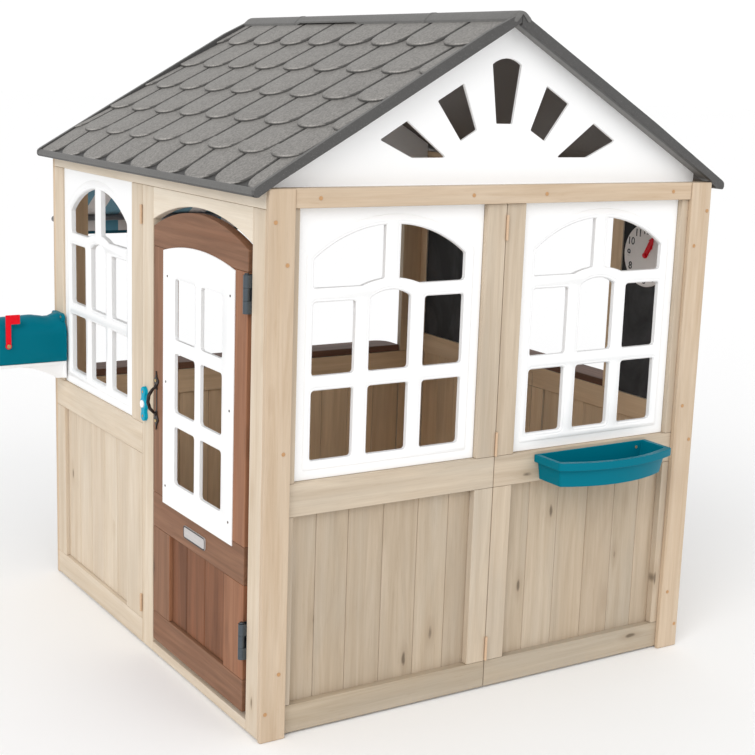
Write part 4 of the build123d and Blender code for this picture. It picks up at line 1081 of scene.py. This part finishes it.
# rounded ends: (distance from the end, squeeze)
CAP_TAPER = [(0.0, 0.50), (1.4, 0.74), (4.0, 0.89), (8.0, 0.97), (14.0, 1.0)]
BOW_STATIONS = (586.0, 600.0, 860.0, 874.0)
BOW_LIFT = 4.5


def cap_section(proud=0.0, squeeze=1.0, lift=0.0):
    """Cap profile in (x, z). proud enlarges it, squeeze shrinks it towards the ridge, and
    lift raises the left edge where the cap bows off the shingles."""
    leg = CAP_HALF + proud
    foot = -leg * SLOPE
    points = [(-leg, foot - 4.0 + lift), (-leg - 0.2, foot + 1.5 + proud + lift * 0.6),
              (-leg + 3.2, foot + 5.6 + proud + lift * 0.3)]
    for i in range(13):
        across = -1 + 2 * i / 12
        points.append((across * 20.0, 3.4 + proud - abs(across) ** 2.0 * 10.0))
    points += [(leg - 3.2, foot + 5.6 + proud), (leg + 0.2, foot + 1.5 + proud),
               (leg, foot - 4.0), (0, -1.5)]
    return [(RIDGE_X + x * squeeze,
             CAP_Z + ((z + 8) * (0.35 + 0.65 * squeeze) - 8 if z > -8 else z))
            for x, z in points]


def build_ridge_cap():
    """Three lengths with lapped joints and rounded ends."""
    first, second = CAP_JOINTS
    # (y, squeeze) along each length
    lengths = [
        [(CAP_FRONT + inset, squeeze) for inset, squeeze in CAP_TAPER] + [(first, 1.0)],
        [(y, 1.0) for y in (first, *BOW_STATIONS, second)],
        [(second, 1.0)] + [(CAP_BACK - inset, squeeze) for inset, squeeze in CAP_TAPER[::-1]],
    ]
    shells = Shells()
    for stations in lengths:
        sections = [cap_section(0.0, squeeze, BOW_LIFT if y in BOW_STATIONS[1:3] else 0.0)
                    for y, squeeze in stations]
        rings = [[along_y(*point, y) for point in section]
                 for section, (y, squeeze) in zip(sections, stations)]
        shells.loft(rings, (fill(sections[0]), fill(sections[-1])))
    for y in CAP_JOINTS:
        shells.prism(cap_section(0.9), along_y, y - 9.0, y + 1.5)
    cap = shells.make("ridge_cap_lengths", "plastic_ridge_cap")
    finish_piece(cap, "ridge_caps", sharp=40)


# ==================================================================== awning
AWNING_LEFT, AWNING_RIGHT = 90.0, 1028.0
AWNING_TOP = (1150.9, 1069.0)  # (y, z) of the upper edge
ROD_Y, ROD_Z, ROD_RADIUS = 1361.0, 906.0, 9.2  # the outer bar, with the cloth round it
VALANCE_DROP = 44.6
CLOTH_HALF = 0.8  # half the cloth's thickness
SIDE_EXTRA, HEM_EXTRA = 0.45, 0.35  # added to it along the sides and at the bottom
CLOTH_COLUMNS = 120


def awning_path():
    """(y, z, part of the slope, part of the valance) from the upper edge to the hem."""
    top_y, top_z = AWNING_TOP
    run_y, run_z = ROD_Y - top_y, ROD_Z - top_z
    slope = math.atan2(run_z, run_y) + math.asin(ROD_RADIUS / math.hypot(run_y, run_z))
    touch_y = ROD_Y + ROD_RADIUS * math.sin(-slope)
    touch_z = ROD_Z + ROD_RADIUS * math.cos(-slope)
    path = []
    for i in range(33):
        t = i / 32
        path.append((top_y + (touch_y - top_y) * t, top_z + (touch_z - top_z) * t, t, 0))
    start = math.atan2(touch_z - ROD_Z, touch_y - ROD_Y)
    for i in range(1, 9):
        angle = start + (0.0 - start) * i / 8
        path.append((ROD_Y + ROD_RADIUS * math.cos(angle), ROD_Z + ROD_RADIUS * math.sin(angle),
                     1.0, 0))
    for i in range(1, 15):
        path.append((ROD_Y + ROD_RADIUS, ROD_Z - VALANCE_DROP * (i / 14), 1.0, i / 14))
    return path


def cloth_faces(rows):
    """Outer and inner sheets of the cloth, closed along the sides and the two ends."""
    columns = CLOTH_COLUMNS + 1
    sheet = rows * columns

    def wall(first, second, flip):
        inner, back = sheet + second, sheet + first
        return (first, back, inner, second) if flip else (first, second, inner, back)

    faces = []
    for row in range(rows - 1):
        for i in range(CLOTH_COLUMNS):
            outer = row * columns + i
            inner = sheet + outer
            faces.append((outer, outer + 1, outer + columns + 1, outer + columns))
            faces.append((inner, inner + columns, inner + columns + 1, inner + 1))
    for row in range(rows - 1):
        for i, flip in ((0, False), (CLOTH_COLUMNS, True)):
            start = row * columns + i
            faces.append(wall(start, start + columns, flip))
    for i in range(CLOTH_COLUMNS):
        for row, flip in ((0, True), (rows - 1, False)):
            start = row * columns + i
            faces.append(wall(start, start + 1, flip))
    return faces


def build_awning():
    """One sheet: hung from its upper edge, drawn over the outer bar and falling as a loose
    valance with a bound hem."""
    path = awning_path()
    run = [0.0]
    for here, after in zip(path, path[1:]):
        run.append(run[-1] + math.hypot(after[0] - here[0], after[1] - here[1]))
    phase = np.random.default_rng(7).uniform(0, 6.28, 8)
    verts, cloth_places, hem = [], [], []
    for side in (1, -1):
        for row, (y, z, slope, fall) in enumerate(path):
            # unit normal of the path, for the cloth's thickness
            before, after = path[max(row - 1, 0)], path[min(row + 1, len(path) - 1)]
            step_y, step_z = after[0] - before[0], after[1] - before[1]
            length = math.hypot(step_y, step_z)
            normal_y, normal_z = -step_z / length, step_y / length
            for i in range(CLOTH_COLUMNS + 1):
                u = i / CLOTH_COLUMNS
                x = AWNING_LEFT + (AWNING_RIGHT - AWNING_LEFT) * u
                sag = math.sin(math.pi * slope) * (
                    7.0 * (0.8 + 0.2 * math.sin(9 * u + phase[0]))
                    + 1.6 * math.sin(23 * u + phase[1]))
                ripple = 1.9 * math.sin(31 * u + phase[2]) + 1.2 * math.sin(57 * u + phase[3])
                wave = fall * ripple * 0.55 - 0.9 * fall
                thickness = CLOTH_HALF
                if min(u, 1 - u) < 0.009:
                    thickness += SIDE_EXTRA
                if fall > 0.86:
                    thickness += HEM_EXTRA
                out = side * thickness
                verts.append(metres(x, y + normal_y * out + wave, z + normal_z * out - sag))
                cloth_places.append((x / 1000, run[row] / 1000, 0.0))
                hem.append(1.0 if fall > 0.85 else 0.0)
    cloth = make_piece("awning_cloth", verts, cloth_faces(len(path)), ["awning_cloth"])
    add_attribute(cloth.data, "st", "FLOAT_VECTOR", cloth_places)
    add_attribute(cloth.data, "hem", "FLOAT", hem)
    recalculate_normals(cloth.data)
    finish_piece(cloth, "awning_cover", sharp=50)


# =================================================================== mailbox
BOX_Y, BOX_HALF = 1113.0, 48.0
BOX_BOTTOM, BOX_SPRING = 580.0, 648.0
BOX_OPEN_X = -218.3
# (x, z) along the top of the box
BOX_TOP = [
    (-230, 693.0), (-154, 693.2), (-112, 694.2), (-78, 695.4), (-58, 692.6),
    (-43, 689.8), (-30, 690.4), (-14, 693.0), (0, 694.0),
]
# saddle from the ear to the top of the box: (x, half width, top z)
SADDLE = [(-8.0, 24.0, 696.8), (-12.0, 22.0, 696.4), (-17.0, 19.0, 695.4),
          (-24.0, 15.0, 693.0), (-32.0, 11.0, 690.0)]


def box_top(x):
    """Height of the box's top along its length."""
    for (x0, z0), (x1, z1) in zip(BOX_TOP, BOX_TOP[1:]):
        if x0 <= x <= x1:
            t = (x - x0) / (x1 - x0)
            return z0 + (z1 - z0) * (t * t * (3 - 2 * t))
    return BOX_TOP[-1][1]


def box_section(x, grow=0.0):
    """The box's section at x: rounded bottom corners, straight sides and a round top."""
    half, rise, bottom = BOX_HALF + grow, box_top(x) + grow - BOX_SPRING, BOX_BOTTOM - grow
    # (inset from the side, z)
    side = [(5, bottom), (1.5, bottom + 1.5), (0, bottom + 5), (0, 612), (0, 634)]
    points = [(BOX_Y - half + inset, z) for inset, z in side]
    for i in range(33):
        angle = math.pi * (1 - i / 32)
        points.append((BOX_Y + half * math.cos(angle), BOX_SPRING + rise * math.sin(angle)))
    points += [(BOX_Y + half - inset, z) for inset, z in side[::-1]]
    return [metres(x, y, z) for y, z in points]


def add_box_walls(shells):
    """The outer wall to the open end, then the inner wall back again."""
    outer_steps, inner_steps, start, floor_x = 30, 12, -0.3, -5.0
    rings = [box_section(start + (BOX_OPEN_X - start) * i / outer_steps)
             for i in range(outer_steps + 1)]
    rings += [box_section(BOX_OPEN_X + (floor_x - BOX_OPEN_X) * i / inner_steps, -3.0)
              for i in range(inner_steps + 1)]
    shells.loft(rings)


def add_ear(shells):
    """Fixing ear with a saddle running down on to the top of the box."""
    half, end_radius, middle_z = 26, 13, 685
    outline = []
    for side in (1, -1):
        for i in range(13):
            angle = math.pi * i / 12
            outline.append((BOX_Y + side * half + side * end_radius * math.sin(angle),
                            middle_z - side * end_radius * math.cos(angle)))
    for i in range(1, 12):
        y = BOX_Y - half + 2 * half * i / 12
        outline.append((y, BOX_SPRING + math.sqrt(46.0 ** 2 - (y - BOX_Y) ** 2) - 2.0))
    shells.plate(outline, [], on_wall, -9.3, -0.3, rim_bevel=(1.6, 1.6))
    rings = []
    for x, half_width, top in SADDLE:
        upper, lower = [], []
        for i in range(17):
            across = -1 + 2 * i / 16
            y = half_width * across
            skin = (BOX_SPRING
                    + (box_top(x) - BOX_SPRING) * math.sqrt(1 - (y / BOX_HALF) ** 2))
            swell = max(0.0, top - skin + 1) * (1 - abs(across) ** 3.5)
            upper.append(metres(x, BOX_Y + y, skin - 1 + swell))
            lower.append(metres(x, BOX_Y + y, skin - 2.2))
        rings.append(upper + lower[::-1])
    shells.loft(rings)


def build_mailbox():
    shells = Shells()
    add_box_walls(shells)
    add_ear(shells)
    # two lugs under the open end: (x from the opening, z)
    lug = [(0, 583), (0, 573), (2, 570.8), (8, 570.8), (10, 573), (10, 583)]
    for y in (BOX_Y - 30, BOX_Y + 30):
        shells.prism([(BOX_OPEN_X + x, z) for x, z in lug], along_y, y - 4, y + 4)
    mailbox = shells.make("mailbox_shell", "plastic_teal")
    finish_piece(mailbox, "mailbox_body", sharp=34)


# =============================================================== door handle
# half outline of an end plate: (half width, distance from its tip towards the middle)
HANDLE_PLATE = [(0.8, 0), (1.2, 5), (3.8, 8), (3.4, 10), (6.5, 13), (10.6, 17.5),
                (11.2, 21), (9.4, 25), (5.2, 30), (3.6, 34), (4.2, 37), (3.0, 40)]
PLATE_TIPS = ((659.5, -1), (532.5, 1))  # z of each tip, direction to the middle
BOW_HALF, BOW_DEPTH, BOW_X, BOW_Z = 30.5, 19.2, -21.0, 596.5
# small balls at the tips, large ones at the ends of the bow: (x, z, radius)
HANDLE_TIP_BALLS = [(-2.2, 660.2, 1.9), (-2.2, 531.8, 1.9)]
HANDLE_BOW_BALLS = [(-3.4, 628.0, 4.2), (-3.4, 565.0, 4.2)]


def add_ball(shells, x, z, radius):
    """A ball flattened a little in x."""
    rows, around, flatten = 10, 20, 0.8
    verts = [metres(x, HANDLE_Y, z - radius)]
    for i in range(1, rows):
        tilt = math.pi * i / rows
        ring = radius * math.sin(tilt)
        for j in range(around):
            turn = math.pi * j / rows
            verts.append(metres(x + ring * flatten * math.cos(turn),
                                HANDLE_Y + ring * math.sin(turn), z - radius * math.cos(tilt)))
    verts.append(metres(x, HANDLE_Y, z + radius))
    faces = [(0, 1 + (j + 1) % around, 1 + j) for j in range(around)]
    for i in range(rows - 2):
        faces += band(1 + i * around, 1 + (i + 1) * around, around)
    last = 1 + (rows - 2) * around
    faces += [(last + j, last + (j + 1) % around, len(verts) - 1) for j in range(around)]
    shells.add(verts, faces)


def add_twisted_bow(shells):
    steps, around = 64, 20
    radius = (BOW_HALF * BOW_HALF + BOW_DEPTH * BOW_DEPTH) / (2 * BOW_DEPTH)
    half_angle = math.asin(BOW_HALF / radius)
    rings = []
    for i in range(steps + 1):
        angle = half_angle * (1 - 2 * i / steps)
        x = BOW_X + radius - radius * math.cos(angle)
        z = BOW_Z + radius * math.sin(angle)
        from_end = 1 - abs(1 - 2 * i / steps)
        thickness = 2.3 + 1.5 * min(1.0, from_end * 2.2)
        ring = []
        for j in range(around):
            turn = 2 * math.pi * j / around
            twist = 0.11 * min(1.0, from_end * 5) * math.cos(3 * turn + angle * 13)
            out = thickness * (1 + twist)
            ring.append(metres(x - math.cos(angle) * out * math.cos(turn),
                               HANDLE_Y + out * math.sin(turn),
                               z + math.sin(angle) * out * math.cos(turn)))
        rings.append(ring)
    shells.loft(rings)


def build_door_handle():
    shells = Shells()
    for tip_z, direction in PLATE_TIPS:
        outline = [(HANDLE_Y + half, tip_z + direction * along) for half, along in HANDLE_PLATE]
        outline += [(HANDLE_Y - half, tip_z + direction * along)
                    for half, along in HANDLE_PLATE[::-1]]
        shells.plate(outline, [], on_wall, -3.3, -0.2, rim_bevel=(1.1, 1.9))
    # slim back strip between the plates, as in the CAD part; thin and dark, it also stands for
    # the bow's shadow on the door: partly painted shadow
    shells.prism(box(HANDLE_Y - 1.6, 566, HANDLE_Y + 1.6, 627), on_wall, -1.4, -0.2)
    for ball in HANDLE_TIP_BALLS:
        add_ball(shells, *ball)
    add_twisted_bow(shells)
    for ball in HANDLE_BOW_BALLS:
        add_ball(shells, *ball)
    handle = shells.make("door_handle_forged", "black_iron", body="door")
    finish_piece(handle, "door_handle", sharp=40)


# ================================================================ clock dial
DIAL_X, DIAL_Y, DIAL_Z = 1096.8, 176.0, 915.0
NUMERAL_RADIUS, NUMERAL_SIZE, NUMERAL_DEPTH = 58.5, 25.0, 0.18


def numeral_mesh(number):
    curve = bpy.data.curves.new(f"num{number}", "FONT")
    curve.body = str(number)
    curve.size = NUMERAL_SIZE
    curve.offset = 0.25
    curve.align_x, curve.align_y = "CENTER", "CENTER"
    curve.extrude = NUMERAL_DEPTH
    text = bpy.data.objects.new(f"num{number}", curve)
    bpy.context.scene.collection.objects.link(text)
    bpy.context.view_layer.update()
    mesh = bpy.data.meshes.new_from_object(text)
    bpy.data.objects.remove(text)
    bpy.data.curves.remove(curve)
    return mesh


def build_dial_marks():
    """The numerals 1 to 12, read from inside the house."""
    shells = Shells()
    for number in range(1, 13):
        mesh = numeral_mesh(number)
        angle = math.radians(30 * number)
        points = [vert.co.copy() for vert in mesh.vertices]
        middle_x = (max(p.x for p in points) + min(p.x for p in points)) / 2
        middle_y = (max(p.y for p in points) + min(p.y for p in points)) / 2
        verts = []
        for point in points:
            across = point.x - middle_x + NUMERAL_RADIUS * math.sin(angle)
            up = point.y - middle_y + NUMERAL_RADIUS * math.cos(angle)
            verts.append(metres(DIAL_X - (point.z + NUMERAL_DEPTH), DIAL_Y - across,
                                DIAL_Z + up))
        shells.add(verts, [tuple(face.vertices) for face in mesh.polygons])
        bpy.data.meshes.remove(mesh)
    shells.make("clock_dial_marks", "dial_ink")


# ==================================================== floor, light and camera
CAMERA_PLACE = (-1257.55, -2369.31, 1315.43)  # house coordinates
CAMERA_AZIMUTH, CAMERA_TILT, CAMERA_ROLL = 32.44, 11.86, 1.96  # right, down, roll; degrees
SENSOR_WIDTH, FOCAL_LENGTH = 36.0, 69.218225


def build_floor(half=60.0, z=-0.0005):
    shader = Shader("floor_pale")
    shader.set({"Base Color": (0.95, 0.95, 0.95, 1), "Roughness": 0.85,
                "Specular IOR Level": 0.1})
    mesh = bpy.data.meshes.new("floor")
    verts = [(x, y, z) for x, y in box(-half, -half, half, half)]
    mesh.from_pydata(verts, [], [(0, 1, 2, 3)])
    floor = bpy.data.objects.new("floor", mesh)
    bpy.context.scene.collection.objects.link(floor)
    mesh.materials.append(MATERIALS["floor_pale"])


def build_world(strength, camera_extra):
    """White surroundings, a little brighter as seen by the camera."""
    world = bpy.data.worlds.new("studio")
    bpy.context.scene.world = world
    world.use_nodes = True
    tree = world.node_tree
    background = tree.nodes["Background"]
    background.inputs[0].default_value = (1.0, 1.0, 1.0, 1)
    rays = tree.nodes.new("ShaderNodeLightPath")
    level = tree.nodes.new("ShaderNodeMath")
    level.operation = "MULTIPLY_ADD"
    tree.links.new(rays.outputs["Is Camera Ray"], level.inputs[0])
    level.inputs[1].default_value = camera_extra
    level.inputs[2].default_value = strength
    tree.links.new(level.outputs[0], background.inputs[1])


def add_sun(name, direction, strength, angle):
    light = bpy.data.lights.new(name, "SUN")
    light.energy, light.angle = strength, math.radians(angle)
    sun = bpy.data.objects.new(name, light)
    bpy.context.scene.collection.objects.link(sun)
    sun.rotation_mode = "QUATERNION"
    sun.rotation_quaternion = Vector(direction).to_track_quat("-Z", "Y")


def build_camera():
    azimuth, tilt, roll = map(math.radians, (CAMERA_AZIMUTH, CAMERA_TILT, CAMERA_ROLL))
    forward = Vector((math.sin(azimuth) * math.cos(tilt), math.cos(azimuth) * math.cos(tilt),
                      -math.sin(tilt)))
    level_right = forward.cross(Vector((0, 0, 1))).normalized()
    level_up = level_right.cross(forward)
    right = level_right * math.cos(roll) + level_up * math.sin(roll)
    up = -level_right * math.sin(roll) + level_up * math.cos(roll)
    lens = bpy.data.cameras.new("camera")
    lens.sensor_width, lens.lens = SENSOR_WIDTH, FOCAL_LENGTH
    lens.clip_start, lens.clip_end = 0.05, 200.0
    camera = bpy.data.objects.new("camera", lens)
    bpy.context.scene.collection.objects.link(camera)
    rotation = Matrix((right, up, -forward)).transposed().to_4x4()
    camera.matrix_world = Matrix.Translation(Vector(metres(*CAMERA_PLACE))) @ rotation
    bpy.context.scene.camera = camera


# ===================================================================== build
make_materials()
dress_cad_pieces()
build_windows()
build_door_window()
build_gable("front", outer_y=38.0, inward=1)
build_gable("rear", outer_y=1115.0, inward=-1)
build_roof_side("left")
build_roof_side("right")
build_ridge_cap()
build_awning()
build_mailbox()
build_door_handle()
build_dial_marks()

build_floor()
build_world(strength=0.80, camera_extra=0.22)
add_sun("key", direction=(0.80, 0.52, -0.62), strength=1.15, angle=35)
add_sun("fill", direction=(-0.15, 0.85, -0.45), strength=0.45, angle=50)
view = bpy.context.scene.view_settings
view.view_transform = "Standard"
view.look = "None"
view.exposure = 0.0
build_camera()
